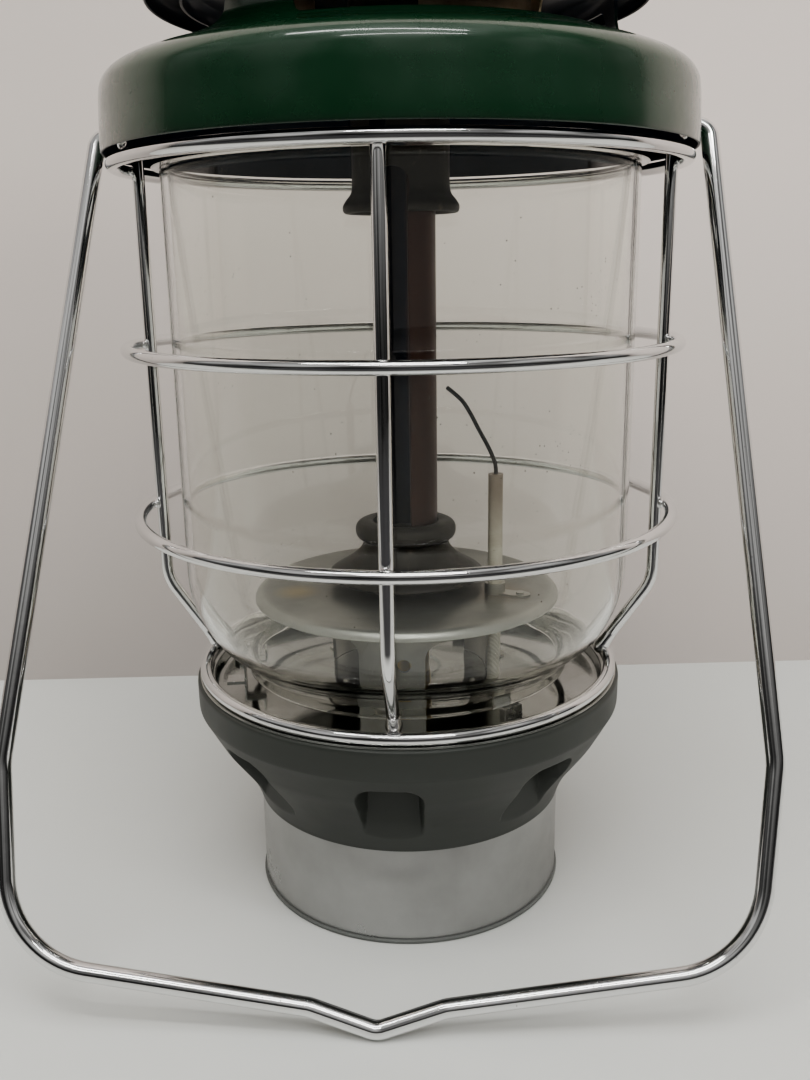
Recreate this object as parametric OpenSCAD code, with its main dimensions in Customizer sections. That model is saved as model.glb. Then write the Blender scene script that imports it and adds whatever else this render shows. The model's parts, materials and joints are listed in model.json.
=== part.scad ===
// Cartridge gas lantern with a wire guard, clear globe, tube-type mantle burner,
// enamelled ventilator and a long swing bail.
// Origin: centre of the face it stands on. +Z up, bail pivots along X, rating side of the base at -Y,
// valve knob at +Y. Drawn with the bail swung forward and resting on the table.

/* [Overall] */
// Height of the bail pivot axis above the table
pivot_z = 230.3; // [226:0.1:234]
// Turn of the wire guard about Z
guard_turn = -1.6; // [-3:0.1:3]
// Turn of the base skirt about Z
skirt_turn = -3.2; // [-6:0.1:0]
// Turn of the ventilator windows about Z
window_turn = -31.6; // [-40:0.1:-20]
// General running clearance between a shaft and its hole
clear = 0.05; // [0.02:0.01:0.08]

/* [Base] */
// Radius of the base tube
tube_r = 47.8; // [46:0.1:50]
// Height of the silver band
band_top = 30.7; // [26:0.1:34]
// Thickness of the silver band
band_t = 0.4; // [0.3:0.1:0.8]
// Largest radius of the flared skirt
skirt_r = 66.5; // [65:0.1:70]
// Height of the skirt's top edge
skirt_top = 70.7; // [69:0.1:73]
// Wall of the moulded skirt
skirt_wall = 2.2; // [1.6:0.1:3]
// Number of grip pockets round the skirt
pocket_count = 8; // [6:1:8]
// Width of one grip pocket
pocket_w = 15.6; // [10:0.2:18]
// Radius of the pocket's back wall
pocket_back_r = 50.6; // [50:0.1:52]
// Height of the pan floor
pan_floor = 66.4; // [65.6:0.1:67]
// Thickness of the pan sheet
pan_t = 0.6; // [0.4:0.1:0.8]

/* [Guard] */
// Wire radius of the guard
wire_r = 1.8; // [1.4:0.1:2]
// Centre-line radius of the three guard rings
ring_r = 79.8; // [79:0.1:80.2]
// Height of the top guard ring
ring_top_z = 220.8; // [219:0.1:222]
// Spacing of the guard rings
ring_pitch = 49.2; // [40:0.1:52]
// Centre-line radius of the ring on the base
base_ring_r = 63.7; // [63:0.1:64.2]

/* [Globe] */
// Outer radius of the glass cylinder
globe_r = 67.5; // [64:0.1:70]
// Height of the globe's top edge
globe_top = 221; // [215:0.1:223]
// Height of the globe's bottom edge
globe_bottom = 72.5; // [72.5:0.1:74]
// Glass thickness
globe_t = 2.2; // [1.6:0.1:2.4]
// Outer radius of the open neck
neck_r = 50.6; // [50.4:0.1:51.2]

/* [Burner] */
// Outer radius of the open burner column
column_r = 9.9; // [9:0.1:10.5]
// Arc of the column wall
column_arc = 210; // [180:5:270]
// Outer radius of the top collar
cap_r = 14; // [13.5:0.1:15]
// Radius of the heat shield
shield_r = 47.5; // [44:0.1:49]
// Height of the heat shield's top face
shield_z = 97; // [96:0.1:98]

/* [Ventilator] */
// Outer radius of the hood's lower edge
hood_r = 82.5; // [82.3:0.1:84]
// Height of the hood's lower edge
hood_z = 223.4; // [223.3:0.1:226]
// Sheet thickness of the enamelled parts
sheet = 0.7; // [0.5:0.1:0.9]
// Height of the window sill
sill_z = 249.5; // [249:0.1:252]
// Height of the window head
head_z = 262; // [258:0.1:263]
// Width of one neck post in degrees
post_arc = 20; // [14:1:30]
// Radius of the top cap's rim
cap_rim_r = 69; // [66:0.1:72]

/* [Bail] */
// Wire radius of the bail
bail_r = 2.5; // [2:0.1:2.5]
// Tilt of the resting bail from straight down
bail_tilt = 21.06; // [18:0.01:30]
// Sideways lean of the bail's middle, to the left as seen from the front
bail_lean = 6.2; // [0:0.1:7]

/* [Valve and igniter] */
// Height of the valve stem axis
stem_z = 40; // [38:0.5:41]
// Radius of the control knob
knob_r = 11; // [9:0.5:12]
// Wall radius of the threaded gas inlet
inlet_r = 5.2; // [5.17:0.01:5.56]
// Direction of the igniter, degrees round from the front
igniter_turn = 131.8; // [131:0.1:132.5]

/* [Hidden] */
eps = 0.05;
big = 96;
mid = 64;
small = 32;
wire_fn = 20;
joint_grow = 0.012;

shelf_z = pan_floor - pan_t;
plate_t = 1;
plate_z = shelf_z - plate_t;
ledge_t = 2.5;
pocket_bottom = 33;
pocket_top = 57.2;
base_ring_z = skirt_top + pan_t + wire_r - 0.05;
upright_r = ring_r - 2 * wire_r + 0.2;
upright_kink = 98;
upright_top = 226.5;
upright_foot_r = base_ring_r - 2.4;
shield_t = 0.8;
stand_r = 26;
stand_t = 0.8;
stand_turn = -9.4;
stand_leg = 46;
leg_gap = 0.2;
foot_r = 30.2;
lead_r = 1.9;
ceramic_z = 90;
collar_z = 111.2;
column_z = 118;
cap_z = 207.5;
cap_top = 269.45;
roof_z = cap_top + eps + sheet;
stud_r = 3;
stud_top = 280;
washer_z = roof_z + eps + sheet;
nut_z = washer_z + 1.05;
nut_r = 7.6;
electrode_x = 27.2;
electrode_y = -11.3;
electrode_top = 133.8;
screw_r = 1.5;
inlet_z = 16;
inlet_len = 9;
bracket_z = 48;
igniter_z = 42;
igniter_in = 20;
igniter_out = 50;
button_r = 4;
clip_turn = 37;
clip_w = 6;
clip_t = 0.5;
pan_screw_r = 56;
pan_screw_turn = 20;
stem_r = 2.5;
knob_in = 62;
knob_out = 76;

// Sub-part to draw

// ---- shared helpers ----

// Points of a quadratic curve from a to c pulled towards b
function curve(a, b, c, n) =
    [for (i = [0 : n]) let (t = i / n) (1 - t) * (1 - t) * a + 2 * t * (1 - t) * b + t * t * c];

// Unit vector, and its left-hand normal
function unit(v) = v / norm(v);
function left(v) = [-v[1], v[0]];

// Normal of an open line of points at point i
function line_normal(p, i) =
    left(unit((i < len(p) - 1 ? unit(p[i + 1] - p[i]) : [0, 0]) + (i > 0 ? unit(p[i] - p[i - 1]) : [0, 0])));

// Thin section that follows an open line of points, with the sheet on its left
module sheet_section(p, t) {
    inner = [for (i = [len(p) - 1 : -1 : 0]) p[i] + t * line_normal(p, i)];
    polygon(concat(p, inner));
}

module ring(r_out, r_in, h, fn = mid) {
    difference() {
        cylinder(r = r_out, h = h, $fn = fn);
        translate([0, 0, -1])
            cylinder(r = r_in, h = h + 2, $fn = fn);
    }
}

// Round rod between two points of the XY plane
module rod(a, b, r) {
    d = b - a;
    translate([a[0], a[1], 0])
        rotate([0, 0, atan2(d[1], d[0])])
            rotate([0, 90, 0])
                cylinder(r = r, h = norm(d), $fn = wire_fn);
}

function turn_at(p, i) = acos(unit(p[i] - p[i - 1]) * unit(p[i + 1] - p[i]));
function side_at(p, i) = sign(cross(unit(p[i] - p[i - 1]), unit(p[i + 1] - p[i])));
function run_at(p, b, i) = (i == 0 || i == len(p) - 1) ? 0 : b[i] * tan(turn_at(p, i) / 2);
function leave(p, b, i) = p[i] + unit(p[i + 1] - p[i]) * run_at(p, b, i);
function enter(p, b, i) = p[i] - unit(p[i] - p[i - 1]) * run_at(p, b, i);

// Ball just larger than the wire, its poles hidden inside the wire
module bead(at, along, r) {
    translate([at[0], at[1], 0])
        rotate([0, 0, atan2(along[1], along[0])])
            rotate([0, 90, 0])
                sphere(r = r + joint_grow, $fn = small);
}

// Bent wire through points of the XY plane, with a bend radius at each inner point;
// a bead a hair larger than the wire joins each bend to its straights
module wire(p, b, r) {
    for (i = [0 : len(p) - 2])
        rod(leave(p, b, i), enter(p, b, i + 1), r);
    for (i = [1 : len(p) - 2]) {
        side = side_at(p, i);
        start = enter(p, b, i);
        finish = leave(p, b, i);
        centre = start + side * b[i] * left(unit(p[i] - p[i - 1]));
        first = side > 0 ? start : finish;
        bead(start, p[i] - p[i - 1], r);
        bead(finish, p[i + 1] - p[i], r);
        translate([centre[0], centre[1], 0])
            rotate([0, 0, atan2(first[1] - centre[1], first[0] - centre[0])])
                rotate_extrude(angle = turn_at(p, i), $fn = mid)
                    translate([b[i], 0])
                        circle(r = r, $fn = wire_fn);
    }
}

// Closed wire ring
module hoop(r, z) {
    translate([0, 0, z])
        rotate_extrude($fn = big)
            translate([r, 0])
                circle(r = wire_r, $fn = wire_fn);
}

// Moves its children to a compass direction, degrees round from the front towards +X
module toward(angle) {
    rotate([0, 0, angle - 90])
        children();
}

// Opening with round upper corners, cut outwards along X
module arch_cut(x, deep, half, z0, z1, corner) {
    arc = [for (i = [0 : 8]) corner * [cos(i * 11.25), sin(i * 11.25)]];
    right = [for (q = arc) [half - corner + q[0], z1 - corner + q[1]]];
    back = [for (i = [8 : -1 : 0]) [-right[i][0], right[i][1]]];
    translate([x, 0, 0])
        rotate([90, 0, 90])
            linear_extrude(deep)
                polygon(concat([[-half, z0], [half, z0]], right, back));
}

// Pan-head screw pointing down, head on z = 0
module screw(shank, head_r = 2.8, head_h = 1.8) {
    difference() {
        union() {
            translate([0, 0, -shank])
                cylinder(r = screw_r, h = shank + 0.5, $fn = small);
            cylinder(r = head_r, h = head_h, $fn = small);
        }
        translate([-0.4, -head_r, head_h - 0.8])
            cube([0.8, 2 * head_r, 1]);
        translate([-head_r, -0.4, head_h - 0.8])
            cube([2 * head_r, 0.8, 1]);
    }
}

// ---- base ----

// Grey edging clipped round the bottom of the base tube
module foot_ring() {
    color([0.2, 0.21, 0.2])
        rotate_extrude($fn = big)
            polygon([[44.4, 0], [48.7, 0], [48.9, 0.5], [48.9, 1.3], [46.25, 1.3], [46.25, 5], [44.4, 5]]);
}

// Plain silver sheet wrapped round the base tube
module label_band() {
    color([0.78, 0.78, 0.78])
        translate([0, 0, 1.35])
            ring(tube_r + band_t, tube_r + 0.02, band_top - 1.35, big);
}

skirt_line = concat(
    [[tube_r, 1.35], [tube_r, band_top], [tube_r + band_t + 0.5, band_top]],
    curve([49.2, 32], [52.2, 39.5], [57.4, 46.8], 4),
    [[60.6, 51.4], [66, 61.1], [skirt_r, 62.4], [skirt_r, skirt_top - 0.8], [skirt_r - 0.8, skirt_top]]);

module skirt_solid() {
    rotate_extrude($fn = big)
        polygon(concat([[0, 1.35]], skirt_line, [[0, skirt_top]]));
}

module skirt_hollow() {
    rotate_extrude($fn = big)
        polygon(concat([[0, 0], [tube_r - 1.5, 0], [tube_r - 1.5, 31]],
                       curve([47, 32.5], [50, 41], [55.2, 48], 4),
                       [[58.4, 52.6], [63.4, 61.6], [skirt_r - skirt_wall, plate_z - ledge_t],
                        [54, plate_z - ledge_t], [54, plate_z], [skirt_r - skirt_wall, plate_z],
                        [skirt_r - skirt_wall, skirt_top + 1], [0, skirt_top + 1]]));
}

// Round-headed block that stands for one pocket, grown by the given wall
module pocket_block(grow) {
    arch_cut(pocket_back_r - grow, 20, pocket_w / 2 + grow, pocket_bottom, pocket_top + grow, 4.5);
}

// Flared moulded skirt with grip pockets, inner ledge and screw bosses
module skirt() {
    color([0.21, 0.22, 0.21])
        difference() {
            union() {
                difference() {
                    skirt_solid();
                    skirt_hollow();
                }
                intersection() {
                    skirt_solid();
                    for (i = [0 : pocket_count - 1])
                        toward(skirt_turn + i * 360 / pocket_count)
                            pocket_block(1.8);
                }
                for (i = [0 : 2])
                    toward(pan_screw_turn + i * 120)
                        translate([pan_screw_r, 0, plate_z - 5.5])
                            cylinder(r = 3.4, h = 5.5, $fn = small);
            }
            for (i = [0 : pocket_count - 1])
                toward(skirt_turn + i * 360 / pocket_count)
                    pocket_block(0);
            for (i = [0 : 2])
                toward(pan_screw_turn + i * 120)
                    translate([pan_screw_r, 0, plate_z - 4.8])
                        cylinder(r = screw_r + clear, h = 9, $fn = small);
            translate([0, 40, stem_z])
                rotate([-90, 0, 0])
                    cylinder(r = 4, h = 30, $fn = small);
            toward(igniter_turn)
                translate([40, 0, igniter_z])
                    rotate([0, 90, 0])
                        cylinder(r = 6.2, h = 30, $fn = small);
        }
}

// Bright drawn pan that closes the base, with its rim on the skirt
module base_pan() {
    color([0.8, 0.8, 0.78])
        difference() {
            rotate_extrude($fn = big)
                polygon(concat([[7.1, shelf_z], [59.6, shelf_z]],
                               curve([60.2, shelf_z], [61.2, shelf_z], [61.4, shelf_z + 1.2], 3),
                               [[61.6, skirt_top], [65.6, skirt_top], [65.6, skirt_top + pan_t],
                                [60.9, skirt_top + pan_t], [60.7, pan_floor + 1]],
                               [[60.2, pan_floor], [7.1, pan_floor]]));
            for (i = [0 : 2])
                toward(pan_screw_turn + i * 120)
                    translate([pan_screw_r, 0, shelf_z - 1])
                        cylinder(r = screw_r + 0.1, h = 4, $fn = small);
            translate([electrode_x, electrode_y, shelf_z - 1])
                cylinder(r = 2.4, h = 4, $fn = small);
            for (i = [0 : 2])
                toward(stand_turn + i * 120)
                    translate([foot_r, 0, shelf_z - 1])
                        cylinder(r = screw_r + 0.05, h = 4, $fn = small);
        }
}

// Steel plate under the pan that carries the valve
module mounting_plate() {
    color([0.6, 0.6, 0.6])
        translate([0, 0, plate_z])
            difference() {
                cylinder(r = 60, h = plate_t, $fn = big);
                translate([0, 0, -1])
                    cylinder(r = 7.1, h = 4, $fn = mid);
                for (i = [0 : 2]) {
                    toward(pan_screw_turn + i * 120)
                        translate([pan_screw_r, 0, -1])
                            cylinder(r = screw_r + 0.1, h = 4, $fn = small);
                    toward(i * 120)
                        translate([24, 0, -1])
                            cylinder(r = screw_r + clear, h = 4, $fn = small);
                    toward(stand_turn + i * 120)
                        translate([foot_r, 0, -1])
                            cylinder(r = screw_r + clear, h = 4, $fn = small);
                }
                translate([electrode_x, electrode_y, -1])
                    cylinder(r = 2.4, h = 4, $fn = small);
                for (i = [0 : 5])
                    toward(30 + i * 60)
                        translate([42, 0, -1])
                            cylinder(r = 5, h = 4, $fn = small);
            }
}

module pan_screws() {
    color([0.75, 0.75, 0.75])
        for (i = [0 : 2])
            toward(pan_screw_turn + i * 120)
                translate([pan_screw_r, 0, pan_floor])
                    screw(6);
}

// ---- valve ----

// Pressed cup under the plate that holds the valve
module valve_bracket() {
    color([0.62, 0.62, 0.62])
        difference() {
            union() {
                translate([0, 0, bracket_z])
                    ring(20, 8.15, 0.8);
                translate([0, 0, bracket_z])
                    ring(20, 19.2, plate_z - bracket_z);
                translate([0, 0, plate_z - 0.8])
                    ring(27, 19.2, 0.8);
            }
            for (i = [0 : 2]) {
                toward(i * 120)
                    translate([24, 0, plate_z - 3])
                        cylinder(r = screw_r + 0.1, h = 4, $fn = small);
                toward(60 + i * 120)
                    translate([10, -9, bracket_z + 4])
                        cube([20, 18, 8]);
            }
        }
}

module bracket_screws() {
    color([0.75, 0.75, 0.75])
        for (i = [0 : 2])
            toward(i * 120)
                translate([24, 0, plate_z - 0.8])
                    rotate([180, 0, 0])
                        screw(1.6);
}

// Cast valve with a threaded inlet below, a stem boss to the rear and a neck for the jet
module valve_body() {
    color([0.66, 0.66, 0.64])
        difference() {
            union() {
                translate([0, 0, inlet_z])
                    cylinder(r = 13, h = 10, $fn = mid);
                translate([0, 0, inlet_z + 10])
                    cylinder(r = 11.5, h = bracket_z - inlet_z - 10, $fn = mid);
                translate([0, 0, bracket_z - 0.5])
                    cylinder(r = 8, h = 8.5, $fn = mid);
                translate([0, 0, stem_z])
                    rotate([-90, 0, 0])
                        cylinder(r = 5.5, h = 24, $fn = small);
            }
            translate([0, 0, inlet_z - 1])
                cylinder(r = inlet_r, h = inlet_len + 1, $fn = mid);
            translate([0, 0, inlet_z + inlet_len - eps])
                cylinder(r = 4.3, h = 2.6, $fn = mid);
            translate([0, 0, inlet_z + inlet_len])
                cylinder(r = 1.3, h = 40, $fn = small);
            translate([0, 1, stem_z])
                rotate([-90, 0, 0])
                    cylinder(r = stem_r + clear, h = 30, $fn = small);
            translate([0, 13, stem_z])
                rotate([-90, 0, 0])
                    cylinder(r = 3.2, h = 30, $fn = small);
            translate([0, 0, bracket_z + 5])
                cylinder(r = 2.05, h = 8, $fn = small);
        }
}

// Hexagonal nut that clamps the valve neck in the bracket
module valve_locknut() {
    color([0.78, 0.65, 0.35])
        translate([0, 0, bracket_z + 0.8])
            difference() {
                cylinder(r = 12.5, h = 4, $fn = 6);
                translate([0, 0, -1])
                    cylinder(r = 8.05, h = 6, $fn = mid);
            }
}

// Rubber ring that seals the cartridge at the top of the inlet
module inlet_seal() {
    color([0.08, 0.08, 0.08])
        translate([0, 0, inlet_z + inlet_len + 1])
            rotate_extrude($fn = mid)
                translate([3.25, 0])
                    circle(r = 0.95, $fn = wire_fn);
}

// Pin that opens the cartridge valve
module depressor_pin() {
    color([0.8, 0.67, 0.35])
        translate([0, 0, inlet_z + inlet_len + 0.3])
            cylinder(r = 1.25, h = 6, $fn = small);
}

// Brass nozzle at the foot of the mixing tube
module gas_jet() {
    color([0.8, 0.67, 0.35])
        difference() {
            union() {
                translate([0, 0, bracket_z + 5.2])
                    cylinder(r = 2, h = 4, $fn = small);
                translate([0, 0, bracket_z + 8.05])
                    cylinder(r = 3.4, h = 2, $fn = 6);
                translate([0, 0, bracket_z + 10])
                    cylinder(r1 = 2.2, r2 = 1.2, h = 2.5, $fn = small);
            }
            translate([0, 0, bracket_z + 5])
                cylinder(r = 0.8, h = 6, $fn = small);
            translate([0, 0, bracket_z + 10])
                cylinder(r = 0.2, h = 6, $fn = small);
        }
}

// Ring in the stem's groove
module valve_stem_seal() {
    color([0.1, 0.1, 0.1])
        translate([0, 18, stem_z])
            rotate([-90, 0, 0])
                rotate_extrude($fn = small)
                    translate([2.5, 0])
                        circle(r = 0.55, $fn = wire_fn);
}

// Stem with needle point, seal groove and a flat for the knob
module valve_stem() {
    color([0.8, 0.67, 0.35])
        difference() {
            translate([0, 3, stem_z])
                rotate([-90, 0, 0])
                    union() {
                        cylinder(r1 = 0.6, r2 = 1.6, h = 4, $fn = small);
                        translate([0, 0, 3.9])
                            cylinder(r = stem_r, h = 68.1, $fn = small);
                    }
            translate([0, 18, stem_z])
                rotate([-90, 0, 0])
                    rotate_extrude($fn = small)
                        translate([2.5, 0])
                            circle(r = 0.62, $fn = wire_fn);
            translate([-5, 64, stem_z + 1.7])
                cube([10, 20, 5]);
            translate([0, 66, stem_z])
                rotate([-90, 0, 0])
                    cylinder(r = 1.3, h = 12, $fn = small);
        }
}

// Ribbed control knob
module valve_knob() {
    color([0.1, 0.1, 0.1])
        difference() {
            translate([0, knob_in, stem_z])
                rotate([-90, 0, 0])
                    union() {
                        cylinder(r = 7, h = 3, $fn = mid);
                        translate([0, 0, 2])
                            cylinder(r = knob_r, h = knob_out - knob_in - 3, $fn = mid);
                        translate([0, 0, knob_out - knob_in - 1.01])
                            cylinder(r1 = knob_r, r2 = knob_r - 1, h = 1, $fn = mid);
                    }
            difference() {
                translate([0, 55, stem_z])
                    rotate([-90, 0, 0])
                        cylinder(r = stem_r + 0.02, h = 20.1, $fn = small);
                translate([-5, 64.1, stem_z + 1.72])
                    cube([10, 20, 5]);
            }
            translate([0, 70, stem_z])
                rotate([-90, 0, 0])
                    cylinder(r = 1.3, h = 10, $fn = small);
            for (i = [0 : 11])
                translate([0, knob_in + 1, stem_z])
                    rotate([0, 15 + i * 30, 0])
                        translate([knob_r + 0.6, 0, 0])
                            rotate([-90, 0, 0])
                                cylinder(r = 1.6, h = 20, $fn = small);
        }
}

// Screw that holds the knob on the stem
module knob_screw() {
    color([0.75, 0.75, 0.75])
        translate([0, knob_out, stem_z])
            rotate([-90, 0, 0])
                difference() {
                    union() {
                        cylinder(r = 2.4, h = 1.2, $fn = small);
                        translate([0, 0, -8])
                            cylinder(r = 1.25, h = 8.5, $fn = small);
                    }
                    translate([-3, -0.35, 0.6])
                        cube([6, 0.7, 1]);
                }
}

// ---- igniter ----

// Moulded piezo body hung from the plate, its mouth through the skirt
module igniter_body() {
    color([0.12, 0.12, 0.12])
        toward(igniter_turn)
            difference() {
                union() {
                    translate([igniter_in, 0, igniter_z])
                        rotate([0, 90, 0])
                            cylinder(r = 6, h = igniter_out - igniter_in, $fn = small);
                    translate([30, -4, igniter_z])
                        cube([10, 8, plate_z - igniter_z]);
                }
                translate([40, 0, igniter_z])
                    rotate([0, 90, 0])
                        cylinder(r = button_r + clear, h = 40, $fn = small);
            }
}

// Push button of the igniter
module igniter_button() {
    color([0.65, 0.1, 0.08])
        toward(igniter_turn)
            translate([47, 0, igniter_z])
                rotate([0, 90, 0])
                    union() {
                        cylinder(r = button_r, h = 10.5, $fn = small);
                        translate([0, 0, 10.5])
                            cylinder(r1 = button_r, r2 = button_r - 1, h = 1, $fn = small);
                    }
}

// Return spring behind the button, drawn as its separate turns
module igniter_spring() {
    color([0.7, 0.7, 0.7])
        toward(igniter_turn)
            for (i = [0 : 5])
                translate([40.6 + i * 1.16, 0, igniter_z])
                    rotate([0, 90, 0])
                        rotate_extrude($fn = small)
                            translate([3, 0])
                                circle(r = 0.4, $fn = wire_fn);
}

// Sleeved lead from the igniter, bent up to the foot of the ceramic
module igniter_lead() {
    start = igniter_in * [sin(igniter_turn), -cos(igniter_turn)];
    run = [electrode_x, electrode_y] - start;
    color([0.75, 0.72, 0.66])
        translate([start[0], start[1], igniter_z])
            rotate([0, 0, atan2(run[1], run[0])]) {
                rotate([0, 90, 0])
                    cylinder(r = lead_r, h = norm(run), $fn = small);
                translate([norm(run), 0, 0])
                    sphere(r = lead_r + 0.15, $fn = small);
                translate([norm(run), 0, 0])
                    cylinder(r = lead_r, h = ceramic_z - igniter_z, $fn = small);
            }
}

// Ceramic tube through the heat shield
module electrode_insulator() {
    color([0.76, 0.66, 0.52])
        translate([electrode_x, electrode_y, ceramic_z])
            ring(2.2, 0.7, electrode_top - ceramic_z, small);
}

// Spark wire, bent over towards the burner column
module electrode_wire() {
    color([0.15, 0.15, 0.16])
        translate([electrode_x, electrode_y, 0])
            rotate([0, 0, atan2(-0.5, -14.3)])
                rotate([90, 0, 0])
                    wire([[0, ceramic_z + 1], [0, electrode_top + 1], [7.4, 146.7], [14.3, 159.3]],
                         [0, 3, 12], 0.6);
}

// Sheet clip that holds the ceramic on the heat shield
module electrode_clip() {
    color([0.7, 0.66, 0.58])
        translate([electrode_x, electrode_y, shield_z])
            rotate([0, 0, -22])
                difference() {
                    union() {
                        cylinder(r = 3.1, h = 3.4, $fn = small);
                        translate([0, -2.4, 0])
                            cube([8.6, 4.8, 0.6]);
                        translate([8.6, 0, 0])
                            cylinder(r = 2.4, h = 0.6, $fn = small);
                        translate([8, 0, 0.5])
                            cylinder(r = 1.3, h = 0.7, $fn = small);
                    }
                    translate([0, 0, -1])
                        cylinder(r = 2.25, h = 6, $fn = small);
                }
}

// ---- burner ----

// Arched sheet stand that lifts the heat shield off the pan
module burner_stand() {
    color([0.72, 0.71, 0.68])
        difference() {
            union() {
                translate([0, 0, pan_floor + leg_gap])
                    ring(stand_r, stand_r - stand_t, shield_z - shield_t - pan_floor - leg_gap);
                for (i = [0 : 2])
                    toward(stand_turn + i * 120) {
                        translate([stand_r - 0.4, -3.6, pan_floor])
                            cube([foot_r - stand_r + 0.4, 7.2, stand_t]);
                        translate([foot_r, 0, pan_floor])
                            cylinder(r = 4, h = stand_t, $fn = small);
                    }
            }
            for (i = [0 : 2]) {
                toward(stand_turn + 60 + i * 120)
                    arch_cut(stand_r / 4, stand_r, stand_r * sin(60 - stand_leg / 2), pan_floor - 1, 85, 5);
                toward(stand_turn + i * 120) {
                    translate([foot_r, 0, pan_floor - 1])
                        cylinder(r = screw_r + clear, h = 4, $fn = small);
                    translate([stand_r - 3, 4, 78])
                        rotate([0, 90, 0])
                            cylinder(r = 2, h = 6, $fn = small);
                }
            }
        }
}

// Rivets through the stand's feet, the pan and the plate
module stand_rivets() {
    color([0.75, 0.75, 0.75])
        for (i = [0 : 2])
            toward(stand_turn + i * 120)
                translate([foot_r, 0, 0])
                    union() {
                        translate([0, 0, plate_z - 0.9])
                            cylinder(r = 2.4, h = 0.9, $fn = small);
                        translate([0, 0, plate_z - 0.1])
                            cylinder(r = screw_r, h = 3.5, $fn = small);
                        translate([0, 0, pan_floor + stand_t])
                            cylinder(r1 = 2.6, r2 = 1.8, h = 1, $fn = small);
                    }
}

// Disc that shields the base, rim turned down
module heat_shield() {
    color([0.7, 0.69, 0.64])
        difference() {
            rotate_extrude($fn = big)
                polygon(concat([[12.1, shield_z - shield_t], [shield_r - 2.2, shield_z - shield_t]],
                               curve([shield_r - 1.7, shield_z - shield_t], [shield_r - 0.9, shield_z - 0.9],
                                     [shield_r - 0.8, shield_z - 2.4], 3),
                               [[shield_r, shield_z - 2.4]],
                               curve([shield_r, shield_z - 1.8], [shield_r - 0.1, shield_z],
                                     [shield_r - 2.2, shield_z], 3),
                               [[12.1, shield_z]]));
            translate([electrode_x, electrode_y, shield_z - 3])
                cylinder(r = 2.3, h = 5, $fn = small);
        }
}

// Venturi tube from the jet to the burner
module mixing_tube() {
    color([0.7, 0.6, 0.38])
        difference() {
            translate([0, 0, 59.5])
                ring(7, 6.2, 50);
            for (a = [0, 90])
                rotate([0, 0, a])
                    translate([-10, 0, 62])
                        rotate([0, 90, 0])
                            cylinder(r = 1.3, h = 20, $fn = small);
        }
}

// Dark bell-shaped burner base
module burner_cone() {
    color([0.2, 0.19, 0.18])
        rotate_extrude($fn = mid)
            polygon(concat([[7.05, 94], [12, 94], [12, shield_z + 0.02], [14, shield_z + 0.02], [14, 101]],
                           curve([23.9, 100.2], [24.2, 100.6], [24, 101.1], 2),
                           curve([21.6, 103.4], [15.6, 106.2], [13.3, 109.4], 5),
                           [[13.2, collar_z - 0.6], [12.6, collar_z - 0.02], [7.05, collar_z - 0.02]]));
}

// Rounded lower collar of the column
module burner_collar() {
    color([0.18, 0.16, 0.16])
        translate([0, 0, collar_z])
            rotate_extrude($fn = mid)
                polygon(concat([[6.2, 0], [12.8, 0]],
                               curve([13.4, 0.6], [15.6, 1], [15.6, 3.2], 4),
                               curve([15.6, 3.8], [15.4, 5.8], [12.6, 6.3], 4),
                               [[10.2, 6.4], [10.2, 2.6], [6.2, 2.6]]));
}

// Open column that carries the top collar
module burner_column() {
    color([0.2, 0.16, 0.15])
        translate([0, 0, collar_z + 2.65])
            rotate([0, 0, -90 + 14])
                rotate_extrude(angle = column_arc, $fn = mid)
                    translate([column_r - 1, 0])
                        square([1, 224 - collar_z - 2.65]);
}

// Closed top collar with a flared lower lip and an arched notch
module burner_cap() {
    color([0.17, 0.15, 0.16])
        difference() {
            rotate_extrude($fn = mid)
                polygon(concat([[0, cap_top], [0, 264], [12.8, 264], [12.8, 225.6], [column_r + clear, 225.6],
                                [column_r + clear, 222], [12.8, 222], [12.8, 215]],
                               curve([12.8, 213.6], [13, 210], [15.4, cap_z + 0.2], 4),
                               curve([16, cap_z], [17, cap_z + 0.3], [16.8, cap_z + 1.6], 3),
                               curve([16.4, cap_z + 2.6], [14.1, 211.6], [cap_r, 214.6], 4),
                               [[cap_r, 266.4]],
                               curve([cap_r, 267.6], [cap_r, cap_top], [cap_r - 2, cap_top], 3)));
            toward(-9) {
                translate([8, -5, cap_z - 1])
                    cube([12, 10, 8.6]);
                translate([8, 0, cap_z + 7.6])
                    rotate([0, 90, 0])
                        cylinder(r = 5, h = 12, $fn = small);
            }
            translate([0, 0, 265])
                cylinder(r = stud_r + 0.02, h = 6, $fn = small);
        }
}

// Threaded rod that the ball nut screws on
module top_stud() {
    color([0.75, 0.75, 0.75])
        translate([0, 0, 265])
            union() {
                cylinder(r = stud_r, h = stud_top - 266, $fn = small);
                translate([0, 0, stud_top - 266])
                    cylinder(r1 = stud_r, r2 = stud_r - 1, h = 1, $fn = small);
            }
}

// ---- globe ----

// Clear glass with a bowl-shaped bottom and an open neck
module globe() {
    line = concat([[neck_r - 0.2, globe_bottom], [neck_r, 76.2]],
                  curve([neck_r + 1.2, 78.4], [59.4, 81.4], [63.6, 90], 6),
                  curve([65.7, 94], [67.5, 99.6], [globe_r, 107], 4),
                  [[globe_r, globe_top]]);
    color([0.86, 0.9, 0.88, 0.35])
        rotate_extrude($fn = big)
            sheet_section(line, globe_t);
}

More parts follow.
